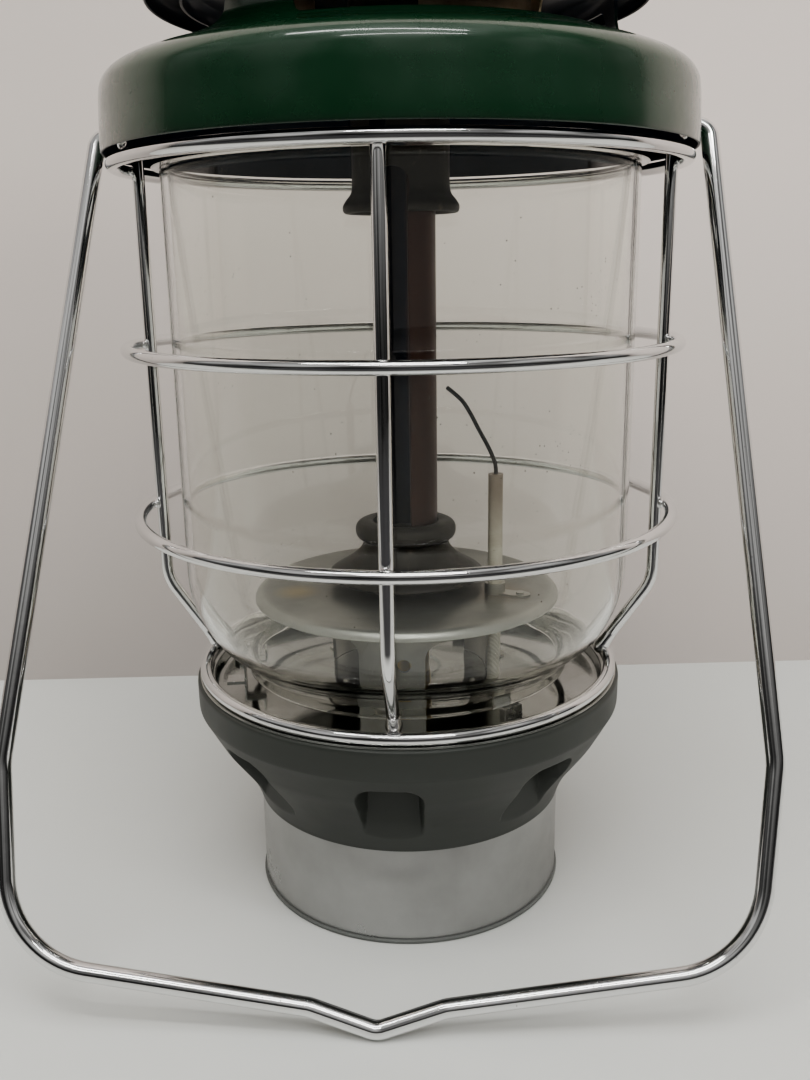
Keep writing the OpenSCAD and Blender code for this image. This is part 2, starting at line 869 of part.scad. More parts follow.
// Spring clips that seat the globe on the pan
module globe_clips() {
    seat = globe_bottom - pan_floor - 0.02;
    color([0.75, 0.75, 0.73])
        for (i = [0 : 2])
            toward(clip_turn + i * 120)
                translate([neck_r, -clip_w / 2, pan_floor])
                    union() {
                        translate([1, 0, 0])
                            cube([6, clip_w, clip_t]);
                        translate([1, 0, 0])
                            cube([clip_t, clip_w, seat]);
                        translate([-5, 0, seat - clip_t])
                            cube([6 + clip_t, clip_w, clip_t]);
                        translate([-5, 0, seat - clip_t])
                            cube([clip_t, clip_w, 3.5]);
                    }
}

// ---- guard ----

// Three equal wire rings
module guard_rings() {
    color([0.8, 0.8, 0.8])
        for (i = [0 : 2])
            hoop(ring_r, ring_top_z - i * ring_pitch);
}

// Smaller wire ring that seats on the pan's rim
module guard_base_ring() {
    color([0.8, 0.8, 0.8])
        hoop(base_ring_r, base_ring_z);
}

// Four upright wires, bent in at the foot and beaded where they are welded
module guard_uprights() {
    line = [[upright_r, upright_top], [upright_r, upright_kink], [upright_foot_r, base_ring_z + 3.2]];
    color([0.78, 0.78, 0.78])
        for (i = [0 : 3])
            toward(guard_turn + i * 90) {
                rotate([90, 0, 0])
                    wire(line, [0, 14], wire_r);
                translate([upright_foot_r, 0, base_ring_z + 3])
                    sphere(r = wire_r + 0.6, $fn = small);
            }
}

// ---- ventilator ----

hood_line = concat(
    [[hood_r, hood_z], [hood_r - 0.05, hood_z + 3]],
    curve([hood_r - 0.9, 237.6], [hood_r - 1.4, 243.4], [75.4, 245.1], 6),
    curve([68, 247], [60.6, 248.6], [59.7, 253.6], 6),
    curve([59.4, 258], [59.4, 266.2], [53.5, 267.3], 5),
    [[40, 268.7], [16, roof_z], [0, roof_z]]);

// Enamelled hood with a windowed neck and a domed roof
module ventilator_hood() {
    color([0.02, 0.2, 0.06])
        difference() {
            union() {
                rotate_extrude($fn = big)
                    sheet_section(hood_line, sheet);
                translate([0, 0, hood_z])
                    ring(hood_r - 0.3, hood_r - 1.5, 1.4, big);
            }
            for (i = [0 : 2])
                toward(window_turn + 60 + i * 120)
                    neck_window();
            translate([0, 0, 250])
                cylinder(r = stud_r + 0.4, h = 40, $fn = small);
            for (s = [-1, 1])
                translate([s * (hood_r - 5), 0, pivot_z])
                    rotate([0, 90 * s, 0])
                        cylinder(r = bail_r + clear, h = 10, $fn = small);
        }
}

// Wedge with rounded corners that opens one window
module neck_window() {
    span = 120 - post_arc;
    corner = 4;
    z0 = sill_z + corner;
    z1 = head_z - corner;
    wedge(span, z0, z1 - z0);
    wedge(span - 8, sill_z, head_z - sill_z);
    for (s = [-1, 1], z = [z0, z1])
        rotate([0, 0, s * (span / 2 - 4)])
            translate([40, 0, z])
                rotate([0, 90, 0])
                    cylinder(r = corner, h = 60, $fn = small);
}

// Sector of a disc centred on +X
module wedge(span, z, h) {
    translate([0, 0, z])
        rotate([0, 0, -span / 2])
            rotate_extrude(angle = span, $fn = mid)
                translate([50, 0])
                    square([40, h]);
}

// Enamelled cap over the neck, its centre dished to seat the nut
module ventilator_cap() {
    seat = roof_z + eps;
    line = concat([[cap_rim_r - 0.4, 262.3], [cap_rim_r + 0.2, 263.4]],
                  curve([cap_rim_r, 266], [cap_rim_r - 2, 268.8], [58, 271.2], 6),
                  curve([44, 273.6], [30, 275.4], [18.6, 275.6], 3),
                  curve([16.4, 275.5], [14, 274.6], [12.6, 272.4], 3),
                  [[11, seat + sheet], [0, seat + sheet]]);
    color([0.02, 0.18, 0.06])
        difference() {
            rotate_extrude($fn = big)
                sheet_section(line, sheet);
            translate([0, 0, 250])
                cylinder(r = stud_r + 0.4, h = 40, $fn = small);
        }
}

// Heat-tinted drum inside the neck, open in front of the burner cap
module heat_baffle() {
    line = concat([[35.6, 251.6]], curve([36.6, 250.9], [39.6, 251], [40, 256], 5),
                  [[40, 267.2], [36, 267.4]]);
    color([0.62, 0.52, 0.4])
        difference() {
            rotate_extrude($fn = big)
                sheet_section(line, 0.6);
            for (i = [0 : 3])
                toward(i * 90 - 10)
                    arch_cut(30, 12, 13, 250, 264, 5);
        }
}

module nut_washer() {
    color([0.8, 0.8, 0.8])
        translate([0, 0, washer_z])
            ring(8, stud_r + 0.2, 1, mid);
}

// Round nut that holds the ventilator down
module ball_nut() {
    color([0.82, 0.82, 0.82])
        difference() {
            rotate_extrude($fn = mid)
                polygon(concat([[0, nut_z], [5.4, nut_z], [5.9, nut_z + 0.5], [5.9, nut_z + 2]],
                               curve([6.6, nut_z + 2.8], [nut_r, nut_z + 4.6], [nut_r, nut_z + 7.4], 4),
                               curve([nut_r, nut_z + 9], [nut_r, nut_z + 13.2], [3.4, nut_z + 14.6], 6),
                               [[0, nut_z + 15.1]]));
            translate([0, 0, nut_z - 1])
                cylinder(r = stud_r + clear, h = stud_top - nut_z + 2, $fn = small);
        }
}

// ---- bail ----

bail_half = [[86.5, 0], [102.9, -176.2], [97.6, -227.3], [17.8, -238.4], [0, -244.2]];
bail_bends = [4, 22, 26, 8, 6];

// Swing handle with a centre V and headed ends turned in through the hood
module bail() {
    side = [for (p = bail_half) p];
    far = [for (i = [3 : -1 : 0]) [-bail_half[i][0], bail_half[i][1]]];
    line = [for (p = concat([[79.6, 0]], side, far, [[-79.6, 0]]))
        [p[0] + bail_lean * p[1] / 244.2, p[1]]];
    bends = concat([0], bail_bends, [for (i = [3 : -1 : 0]) bail_bends[i]]);
    color([0.8, 0.8, 0.8])
        translate([0, 0, pivot_z])
            rotate([-bail_tilt, 0, 0]) {
                rotate([90, 0, 0])
                    wire(line, bends, bail_r);
                for (s = [-1, 1])
                    translate([s * 79.6, 0, 0])
                        rotate([0, s * 90, 0])
                            cylinder(r = 3.6, h = 1.2, $fn = small);
            }
}

foot_ring();
label_band();
skirt();
base_pan();
mounting_plate();
pan_screws();
valve_bracket();
bracket_screws();
valve_body();
valve_locknut();
inlet_seal();
depressor_pin();
gas_jet();
valve_stem_seal();
valve_stem();
valve_knob();
knob_screw();
igniter_body();
igniter_button();
igniter_spring();
igniter_lead();
electrode_insulator();
electrode_wire();
electrode_clip();
burner_stand();
stand_rivets();
heat_shield();
mixing_tube();
burner_cone();
burner_collar();
burner_column();
burner_cap();
top_stud();
globe();
globe_clips();
guard_rings();
guard_base_ring();
guard_uprights();
ventilator_hood();
ventilator_cap();
heat_baffle();
nut_washer();
ball_nut();
bail();
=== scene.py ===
import json
import math

import bmesh
import bpy
from mathutils import Matrix, Vector


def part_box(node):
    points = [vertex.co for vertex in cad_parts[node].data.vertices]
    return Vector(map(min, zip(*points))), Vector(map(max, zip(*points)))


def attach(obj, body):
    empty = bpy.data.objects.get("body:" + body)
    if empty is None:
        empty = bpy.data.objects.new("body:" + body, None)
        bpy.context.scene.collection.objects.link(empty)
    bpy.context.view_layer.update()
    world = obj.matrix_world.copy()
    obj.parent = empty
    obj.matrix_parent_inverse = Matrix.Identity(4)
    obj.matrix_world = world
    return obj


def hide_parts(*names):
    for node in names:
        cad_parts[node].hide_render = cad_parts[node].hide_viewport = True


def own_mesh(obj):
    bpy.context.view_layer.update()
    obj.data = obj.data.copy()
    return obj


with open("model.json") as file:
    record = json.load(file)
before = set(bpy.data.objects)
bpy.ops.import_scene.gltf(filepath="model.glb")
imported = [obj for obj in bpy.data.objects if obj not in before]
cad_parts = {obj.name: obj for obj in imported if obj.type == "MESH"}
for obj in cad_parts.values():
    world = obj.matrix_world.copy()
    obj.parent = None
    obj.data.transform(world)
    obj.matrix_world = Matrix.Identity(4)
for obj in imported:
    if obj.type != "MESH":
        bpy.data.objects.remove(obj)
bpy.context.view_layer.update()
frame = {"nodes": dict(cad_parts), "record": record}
NODES = frame["nodes"]
MM = 0.001

# Directions, in degrees round from the front towards +X
IGNITER_TURN = 131.8
FIRST_POCKET = -3.2
FIRST_UPRIGHT = -1.6
FIRST_POST = -31.6

POCKETS = 8
ELECTRODE = (27.2, -11.3)  # place of the ceramic, in millimetres


# ---- node helpers ----

class Shader:
    """A material whose nodes are added one call at a time."""

    def __init__(self, name):
        self.material = bpy.data.materials.new(name)
        self.material.use_nodes = True
        self.tree = self.material.node_tree
        self.tree.nodes.clear()
        self.out = self.add("ShaderNodeOutputMaterial")
        self.bsdf = self.add("ShaderNodeBsdfPrincipled")
        self.link(self.bsdf.outputs[0], self.out.inputs["Surface"])
        self.where = self.add("ShaderNodeTexCoord").outputs["Object"]

    def add(self, kind, **settings):
        node = self.tree.nodes.new(kind)
        for key, value in settings.items():
            setattr(node, key, value)
        return node

    def link(self, a, b):
        self.tree.links.new(a, b)

    def put(self, socket, value):
        """Links a socket to a socket, or sets a plain value."""
        if hasattr(value, "is_output"):
            self.link(value, socket)
        else:
            socket.default_value = value

    def set(self, **values):
        for key, value in values.items():
            self.put(self.bsdf.inputs[key.replace("_", " ")], value)
        return self

    def scaled(self, scale):
        node = self.add("ShaderNodeMapping")
        self.link(self.where, node.inputs["Vector"])
        node.inputs["Scale"].default_value = scale
        return node.outputs[0]

    def noise(self, scale, detail=3.0, rough=0.5, stretch=None, distort=0.0):
        node = self.add("ShaderNodeTexNoise")
        self.link(self.scaled(stretch) if stretch else self.where, node.inputs["Vector"])
        node.inputs["Scale"].default_value = scale
        node.inputs["Detail"].default_value = detail
        node.inputs["Roughness"].default_value = rough
        node.inputs["Distortion"].default_value = distort
        return node.outputs["Fac"]

    def cells(self, scale):
        node = self.add("ShaderNodeTexVoronoi", feature="F1")
        self.link(self.where, node.inputs["Vector"])
        node.inputs["Scale"].default_value = scale
        return node.outputs["Distance"]

    def span(self, value, low, high, to_low=0.0, to_high=1.0):
        node = self.add("ShaderNodeMapRange")
        self.put(node.inputs["Value"], value)
        for key, number in zip(("From Min", "From Max", "To Min", "To Max"), (low, high, to_low, to_high)):
            self.put(node.inputs[key], number)
        return node.outputs[0]

    def math(self, operation, a, b=0.0):
        node = self.add("ShaderNodeMath", operation=operation)
        self.put(node.inputs[0], a)
        self.put(node.inputs[1], b)
        return node.outputs[0]

    def mix(self, factor, a, b):
        node = self.add("ShaderNodeMix", data_type="RGBA")
        self.put(node.inputs["Factor"], factor)
        self.put(node.inputs["A"], a)
        self.put(node.inputs["B"], b)
        return node.outputs["Result"]

    def ramp(self, value, *stops):
        node = self.add("ShaderNodeValToRGB")
        self.put(node.inputs[0], value)
        elements = node.color_ramp.elements
        while len(elements) < len(stops):
            elements.new(0.5)
        for element, (at, colour) in zip(elements, stops):
            element.position = at
            element.color = colour
        return node.outputs[0]

    def axes(self):
        """The three object coordinates as sockets."""
        node = self.add("ShaderNodeSeparateXYZ")
        self.link(self.where, node.inputs[0])
        return node.outputs

    def near(self, point, reach, soft):
        """1 at a point, falling to 0 at a distance of reach + soft."""
        node = self.add("ShaderNodeVectorMath", operation="DISTANCE")
        self.link(self.where, node.inputs[0])
        node.inputs[1].default_value = point
        return self.span(node.outputs["Value"], reach, reach + soft, 1.0, 0.0)

    def edges(self, width):
        """1 on convex edges, 0 on flats."""
        node = self.add("ShaderNodeBevel", samples=4)
        node.inputs["Radius"].default_value = width
        flat = self.add("ShaderNodeNewGeometry").outputs["Normal"]
        dot = self.add("ShaderNodeVectorMath", operation="DOT_PRODUCT")
        self.link(node.outputs[0], dot.inputs[0])
        self.link(flat, dot.inputs[1])
        return self.span(dot.outputs["Value"], 0.99, 0.8, 0.0, 1.0)

    def bump(self, height, strength, distance):
        node = self.add("ShaderNodeBump")
        node.inputs["Strength"].default_value = strength
        node.inputs["Distance"].default_value = distance
        self.put(node.inputs["Height"], height)
        last = self.bsdf.inputs["Normal"]
        if last.is_linked:
            self.link(last.links[0].from_socket, node.inputs["Normal"])
        self.link(node.outputs[0], last)
        return self


def rgb(r, g, b):
    return (r, g, b, 1.0)


# ---- materials ----

def chrome(name, tint=0.8, rough=0.07):
    s = Shader(name)
    haze = s.noise(90.0, 4.0, 0.6)
    pits = s.span(s.cells(420.0), 0.10, 0.02)
    rare = s.span(s.noise(60.0, 2.0), 0.60, 0.66)
    pits = s.math("MULTIPLY", pits, rare)
    colour = s.mix(haze, rgb(tint, tint, tint * 1.01), rgb(tint * 0.9, tint * 0.9, tint * 0.89))
    s.set(Base_Color=s.mix(pits, colour, rgb(0.12, 0.1, 0.08)), Metallic=1.0)
    polish = s.span(haze, 0.3, 0.7, rough * 0.6, rough * 1.8)
    s.set(Roughness=s.math("ADD", polish, s.math("MULTIPLY", pits, 0.4)))
    s.bump(s.noise(160.0, 2.0), 0.06, 0.0004)
    s.bump(s.noise(900.0, 2.0, stretch=(1.0, 1.0, 0.08)), 0.05, 0.00005)
    return s.material


def enamel(name, outer, inner, shade_edge_z):
    """Glossy enamel outside, a second colour on the faces that look inwards or down, and painted shade
    darkening the bottom edge.
    """
    s = Shader(name)
    normal = s.add("ShaderNodeTexCoord").outputs["Normal"]
    side = s.add("ShaderNodeVectorMath", operation="DOT_PRODUCT")
    s.link(normal, side.inputs[0])
    out = s.add("ShaderNodeVectorMath", operation="MULTIPLY_ADD")
    s.link(s.where, out.inputs[0])
    out.inputs[1].default_value = (1.0, 1.0, 0.0)
    out.inputs[2].default_value = (0.0, 0.0, 0.03)
    s.link(out.outputs[0], side.inputs[1])
    outside = s.span(side.outputs["Value"], -0.004, 0.004)
    cloud = s.noise(24.0, 4.0, 0.55)
    face = s.mix(s.span(cloud, 0.3, 0.75), outer, rgb(outer[0] * 1.5, outer[1] * 1.25, outer[2] * 1.4))
    # painted shade: the colour darkens over the 2.2 mm above the bottom edge
    rim = s.span(s.axes()[2], shade_edge_z, shade_edge_z + 0.0022, 1.0, 0.0)
    face = s.mix(s.math("MULTIPLY", rim, 0.85), face, rgb(0.008, 0.022, 0.012))
    specks = s.span(s.cells(520.0), 0.06, 0.0)
    specks = s.math("MULTIPLY", specks, s.span(s.noise(35.0, 2.0), 0.52, 0.62))
    face = s.mix(s.math("MULTIPLY", specks, 0.5), face, rgb(0.2, 0.22, 0.18))
    gloss = s.math("ADD", s.math("MULTIPLY", outside, 0.7), 0.1)
    s.set(Base_Color=s.mix(outside, inner, face), Coat_Weight=gloss, Coat_Roughness=0.05, Coat_IOR=1.5)
    dust = s.math("SUBTRACT", s.noise(55.0, 5.0, 0.65), s.math("MULTIPLY", outside, 0.25))
    s.set(Roughness=s.span(dust, 0.1, 0.5, 0.2, 0.38), Specular_IOR_Level=s.math("MULTIPLY", gloss, 0.6))
    s.bump(s.noise(130.0, 2.0), 0.10, 0.0006)
    s.bump(s.noise(1400.0, 2.0), 0.04, 0.00006)
    return s.material


def plastic(name, colour, rough=0.5, scuff=0.35):
    s = Shader(name)
    tone = s.noise(30.0, 5.0, 0.6)
    base = s.mix(s.span(tone, 0.3, 0.7), colour, tuple(c * 1.2 for c in colour[:3]) + (1.0,))
    worn = s.math("MULTIPLY", s.edges(0.0008), s.span(s.noise(140.0, 4.0, 0.7), 0.42, 0.62))
    scratch = s.span(s.noise(60.0, 6.0, 0.7, stretch=(1.0, 1.0, 14.0), distort=1.5), 0.66, 0.74)
    light = tuple(min(1.0, c * 2.6 + 0.02) for c in colour[:3]) + (1.0,)
    base = s.mix(s.math("MULTIPLY", worn, scuff), base, light)
    base = s.mix(s.math("MULTIPLY", scratch, scuff * 0.35), base, light)
    s.set(Base_Color=base, Roughness=s.span(tone, 0.25, 0.8, rough - 0.08, rough + 0.12))
    s.set(Specular_IOR_Level=0.45)
    s.bump(s.noise(1500.0, 3.0, 0.6), 0.18, 0.00012)
    s.bump(s.noise(120.0, 2.0), 0.05, 0.0005)
    return s.material


def steel(name, colour, rough, brush=(1.0, 1.0, 1.0), stain=None, amount=0.5, stain_scale=40.0):
    """Satin sheet metal with fine brushing, dull patches, optional stains and a painted highlight on convex
    edges.
    """
    s = Shader(name)
    grain = s.noise(700.0, 3.0, 0.6, stretch=brush)
    patch = s.noise(45.0, 5.0, 0.6)
    base = s.mix(s.span(patch, 0.3, 0.7), colour, tuple(c * 0.8 for c in colour[:3]) + (1.0,))
    if stain:
        mask = s.span(s.noise(stain_scale, 6.0, 0.68, distort=0.6), 0.5, 0.66)
        base = s.mix(s.math("MULTIPLY", mask, amount), base, stain)
    # painted highlight: convex edges are lighter
    edge_highlight = s.math("MULTIPLY", s.edges(0.0005), 0.4)
    base = s.mix(edge_highlight, base, tuple(min(1.0, c * 1.25) for c in colour[:3]) + (1.0,))
    s.set(Base_Color=base, Metallic=1.0, Roughness=s.span(patch, 0.25, 0.75, rough * 0.75, rough * 1.35))
    s.bump(grain, 0.12, 0.00008)
    s.bump(s.noise(60.0, 2.0), 0.08, 0.0006)
    return s.material


def burnt(name, dark, warm, cool, rough=0.45, metallic=0.55, scale=38.0):
    """Heat-darkened metal: near black with brown and blue patches."""
    s = Shader(name)
    patch = s.noise(scale, 5.0, 0.6, stretch=(1.0, 1.0, 0.45), distort=0.4)
    base = s.ramp(patch, (0.28, cool), (0.46, dark), (0.58, dark), (0.76, warm))
    flake = s.span(s.noise(260.0, 5.0, 0.75), 0.60, 0.68)
    base = s.mix(s.math("MULTIPLY", flake, 0.35), base, tuple(c * 2.0 + 0.02 for c in warm[:3]) + (1.0,))
    s.set(Base_Color=base, Metallic=metallic, Roughness=s.span(patch, 0.2, 0.8, rough - 0.12, rough + 0.18))
    s.set(Specular_IOR_Level=0.15)
    s.bump(s.noise(420.0, 4.0, 0.65), 0.2, 0.00018)
    s.bump(s.noise(70.0, 3.0), 0.15, 0.0006)
    return s.material


def column_metal(name):
    """Heat-stained tube with painted shade: blue-black on the -X half, where the opening is, red-brown on the
    +X half.
    """
    s = Shader(name)
    patch = s.noise(46.0, 5.0, 0.62, stretch=(1.0, 1.0, 0.4), distort=0.5)
    blue = s.mix(patch, rgb(0.006, 0.009, 0.02), rgb(0.02, 0.022, 0.035))
    brown = s.mix(patch, rgb(0.030, 0.019, 0.017), rgb(0.085, 0.045, 0.036))
    # painted shade: the half towards -X is blue-black, the other red-brown, along a wavy line near x = 0
    side = s.math("ADD", s.axes()[0], s.span(patch, 0.2, 0.8, -0.0012, 0.0012))
    base = s.mix(s.span(side, 0.0005, 0.0025), blue, brown)
    flake = s.span(s.noise(300.0, 5.0, 0.75), 0.62, 0.70)
    base = s.mix(s.math("MULTIPLY", flake, 0.3), base, rgb(0.12, 0.08, 0.065))
    s.set(Base_Color=base, Metallic=0.85, Roughness=s.span(patch, 0.2, 0.8, 0.3, 0.5))
    s.set(Specular_IOR_Level=0.12)
    s.bump(s.noise(420.0, 4.0, 0.65), 0.2, 0.00018)
    s.bump(s.noise(70.0, 3.0), 0.15, 0.0006)
    return s.material


def clear_glass(name):
    """Clear glass with dust specks; shadow rays pass so that the inside stays lit."""
    s = Shader(name)
    film = s.noise(26.0, 4.0, 0.6)
    s.set(Base_Color=rgb(0.955, 0.962, 0.935), Transmission_Weight=1.0, IOR=1.46)
    s.set(Roughness=s.span(film, 0.5, 0.8, 0.0, 0.02))
    s.bump(s.noise(40.0, 2.0), 0.03, 0.0006)
    specks = s.span(s.cells(330.0), 0.085, 0.04)
    specks = s.math("MULTIPLY", specks, s.span(s.noise(45.0, 3.0), 0.55, 0.62))
    dirt = s.add("ShaderNodeBsdfDiffuse")
    dirt.inputs["Color"].default_value = rgb(0.16, 0.15, 0.13)
    spotted = s.add("ShaderNodeMixShader")
    s.put(spotted.inputs[0], specks)
    s.link(s.bsdf.outputs[0], spotted.inputs[1])
    s.link(dirt.outputs[0], spotted.inputs[2])
    clear = s.add("ShaderNodeBsdfTransparent")
    clear.inputs["Color"].default_value = rgb(0.93, 0.95, 0.94)
    rays = s.add("ShaderNodeLightPath")
    final = s.add("ShaderNodeMixShader")
    s.link(s.math("MAXIMUM", rays.outputs["Is Shadow Ray"], rays.outputs["Is Diffuse Ray"]), final.inputs[0])
    s.link(spotted.outputs[0], final.inputs[1])
    s.link(clear.outputs[0], final.inputs[2])
    s.link(final.outputs[0], s.out.inputs["Surface"])
    return s.material


def heat_shield_metal(name):
    s = Shader(name)
    grain = s.noise(500.0, 3.0, 0.6)
    patch = s.noise(40.0, 5.0, 0.6)
    base = s.mix(s.span(patch, 0.3, 0.7), rgb(0.29, 0.29, 0.27), rgb(0.20, 0.20, 0.185))
    # painted highlight: the turned-down rim is lighter than the flat top
    rim = s.span(s.axes()[2], 0.0972, 0.0966)
    base = s.mix(s.math("MULTIPLY", rim, 0.7), base, rgb(0.45, 0.45, 0.42))
    for point, reach, soft, colour, amount in (
            ((-0.0335, -0.0100, 0.097), 0.002, 0.006, rgb(0.46, 0.36, 0.2), 0.6),
            ((ELECTRODE[0] * MM, ELECTRODE[1] * MM, 0.097), 0.003, 0.010, rgb(0.3, 0.24, 0.18), 0.6),
            ((0.0, 0.0, 0.097), 0.016, 0.016, rgb(0.12, 0.1, 0.085), 0.8)):
        base = s.mix(s.math("MULTIPLY", s.near(point, reach, soft), amount), base, colour)
    s.set(Base_Color=base, Metallic=0.9, Roughness=s.span(patch, 0.25, 0.75, 0.3, 0.5))
    s.bump(grain, 0.14, 0.0001)
    s.bump(s.noise(60.0, 2.0), 0.1, 0.0008)
    return s.material


def band_metal(name):
    s = Shader(name)
    streak = s.noise(260.0, 3.0, 0.6, stretch=(1.0, 1.0, 0.04))
    patch = s.noise(30.0, 5.0, 0.6)
    base = s.mix(s.span(patch, 0.3, 0.7), rgb(0.42, 0.42, 0.415), rgb(0.34, 0.34, 0.335))
    # painted reflection: faint darker vertical streaks in the colour; the same streak noise also bumps the
    # surface
    base = s.mix(s.span(streak, 0.62, 0.8, 0.0, 0.35), base, rgb(0.3, 0.3, 0.3))
    s.set(Base_Color=base, Metallic=0.92, Roughness=s.span(patch, 0.2, 0.8, 0.22, 0.42))
    s.bump(streak, 0.06, 0.00005)
    s.bump(s.noise(70.0, 3.0), 0.07, 0.0006)
    return s.material


def ceramic(name):
    s = Shader(name)
    tone = s.noise(180.0, 4.0, 0.6)
    base = s.mix(s.span(tone, 0.3, 0.7), rgb(0.36, 0.32, 0.26), rgb(0.47, 0.43, 0.36))
    streak = s.noise(90.0, 4.0, 0.6, stretch=(1.0, 1.0, 0.15))
    height = s.math("ADD", s.axes()[2], s.span(streak, 0.3, 0.7, -0.004, 0.004))
    base = s.mix(s.math("MULTIPLY", s.span(height, 0.110, 0.128), 0.8), base, rgb(0.15, 0.105, 0.075))
    s.set(Base_Color=base, Roughness=s.span(tone, 0.3, 0.7, 0.28, 0.5), Coat_Weight=0.25, Coat_Roughness=0.2)
    s.bump(s.noise(900.0, 3.0), 0.15, 0.0001)
    return s.material


def woven_sleeve(name):
    s = Shader(name)
    weave = s.add("ShaderNodeTexWave", bands_direction="DIAGONAL")
    s.link(s.where, weave.inputs["Vector"])
    weave.inputs["Scale"].default_value = 420.0
    weave.inputs["Distortion"].default_value = 0.6
    base = s.mix(weave.outputs["Fac"], rgb(0.62, 0.58, 0.5), rgb(0.5, 0.46, 0.38))
    s.set(Base_Color=base, Roughness=0.8)
    s.bump(weave.outputs["Fac"], 0.4, 0.0002)
    return s.material


def rubber(name):
    s = Shader(name)
    tone = s.noise(120.0, 4.0, 0.6)
    s.set(Base_Color=s.mix(tone, rgb(0.018, 0.018, 0.018), rgb(0.035, 0.035, 0.034)))
    s.set(Roughness=s.span(tone, 0.3, 0.7, 0.6, 0.8))
    s.bump(s.noise(1600.0, 3.0), 0.2, 0.0001)
    return s.material


MATERIALS = {
    "foot_edging": plastic("foot_edging", rgb(0.1, 0.105, 0.1), 0.42),
    "silver_band": band_metal("silver_band"),
    "skirt_plastic": plastic("skirt_plastic", rgb(0.031, 0.034, 0.030), 0.44),
    # on the pan the grey stain patches are painted reflection: darker mirrored patches
    "bright_pan": steel("bright_pan", rgb(0.46, 0.47, 0.45), 0.1, stain=rgb(0.24, 0.24, 0.22), amount=0.5),
    "plate_steel": steel("plate_steel", rgb(0.55, 0.55, 0.54), 0.34),
    "screw_steel": steel("screw_steel", rgb(0.62, 0.62, 0.6), 0.28),
    "valve_alloy": steel("valve_alloy", rgb(0.5, 0.5, 0.48), 0.5),
    "brass": steel("brass", rgb(0.72, 0.53, 0.24), 0.28),
    "black_rubber": rubber("black_rubber"),
    "black_plastic": plastic("black_plastic", rgb(0.02, 0.02, 0.02), 0.4),
    "button_plastic": plastic("button_plastic", rgb(0.38, 0.018, 0.012), 0.32),
    "spring_steel": steel("spring_steel", rgb(0.6, 0.6, 0.58), 0.25),
    "lead_sleeve": woven_sleeve("lead_sleeve"),
    "ceramic": ceramic("ceramic"),
    "burnt_wire": burnt("burnt_wire", rgb(0.035, 0.035, 0.038), rgb(0.08, 0.06, 0.045),
                        rgb(0.03, 0.035, 0.06), 0.4, 0.7),
    "stand_steel": steel("stand_steel", rgb(0.5, 0.49, 0.455), 0.36, stain=rgb(0.3, 0.27, 0.22),
                         amount=0.45),
    "shield_steel": heat_shield_metal("shield_steel"),
    "burner_dark": burnt("burner_dark", rgb(0.040, 0.036, 0.031), rgb(0.10, 0.07, 0.054),
                         rgb(0.042, 0.037, 0.04)),
    "column_dark": column_metal("column_dark"),
    "clear_glass": clear_glass("clear_glass"),
    "chromed_wire": chrome("chromed_wire"),
    "green_enamel": enamel("green_enamel", rgb(0.004, 0.026, 0.010), rgb(0.006, 0.010, 0.018), 0.2235),
    "baffle_steel": steel("baffle_steel", rgb(0.46, 0.37, 0.26), 0.4, stain=rgb(0.17, 0.1, 0.055),
                          amount=0.7),
    "chromed_nut": chrome("chromed_nut", 0.82, 0.05),
}
SLOT_OF = {part["node"]: part["material_slot"] for part in frame["record"]["subparts"]}


# ---- mesh helpers ----

def finish_mesh(name, bm, slot_name, body, stands_for=(), smooth_angle=35.0):
    """Turns a bmesh into a shaded piece that rides on a body and stands for CAD nodes."""
    bmesh.ops.remove_doubles(bm, verts=bm.verts, dist=1e-7)
    bmesh.ops.recalc_face_normals(bm, faces=bm.faces)
    mesh = bpy.data.meshes.new(name)
    bm.to_mesh(mesh)
    bm.free()
    piece = bpy.data.objects.new(name, mesh)
    bpy.context.scene.collection.objects.link(piece)
    mesh.materials.append(MATERIALS[slot_name])
    shade(piece, smooth_angle)
    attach(piece, body)
    if stands_for:
        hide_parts(*stands_for)
    return piece


def shade(piece, angle):
    """Smooth shading with sharp edges above an angle."""
    mesh = piece.data
    mesh.shade_smooth()
    mesh.set_sharp_from_angle(angle=math.radians(angle))


def lathe(bm, profile, segments=192, closed=True):
    """Revolves (radius, height) points in millimetres about Z."""
    rows = []
    for r, z in profile:
        row = []
        for i in range(segments):
            a = 2 * math.pi * i / segments
            row.append(bm.verts.new((r * math.cos(a) * MM, r * math.sin(a) * MM, z * MM)))
        rows.append(row)
    count = len(rows)
    for j in range(count if closed else count - 1):
        low, high = rows[j], rows[(j + 1) % count]
        for i in range(segments):
            k = (i + 1) % segments
            bm.faces.new((low[i], low[k], high[k], high[i]))
    if not closed:
        for row in (rows[0], rows[-1]):
            bm.faces.new(row)
    return rows


def smooth_line(points, steps=6):
    """Catmull-Rom curve through points."""
    ends = [points[0]] + list(points) + [points[-1]]
    line = []
    for i in range(1, len(ends) - 2):
        p0, p1, p2, p3 = (Vector(p) for p in ends[i - 1:i + 3])
        for k in range(steps):
            t = k / steps
            line.append(0.5 * ((2 * p1) + (p2 - p0) * t + (2 * p0 - 5 * p1 + 4 * p2 - p3) * t * t
                               + (3 * p1 - p0 - 3 * p2 + p3) * t ** 3))
    line.append(Vector(points[-1]))
    return line


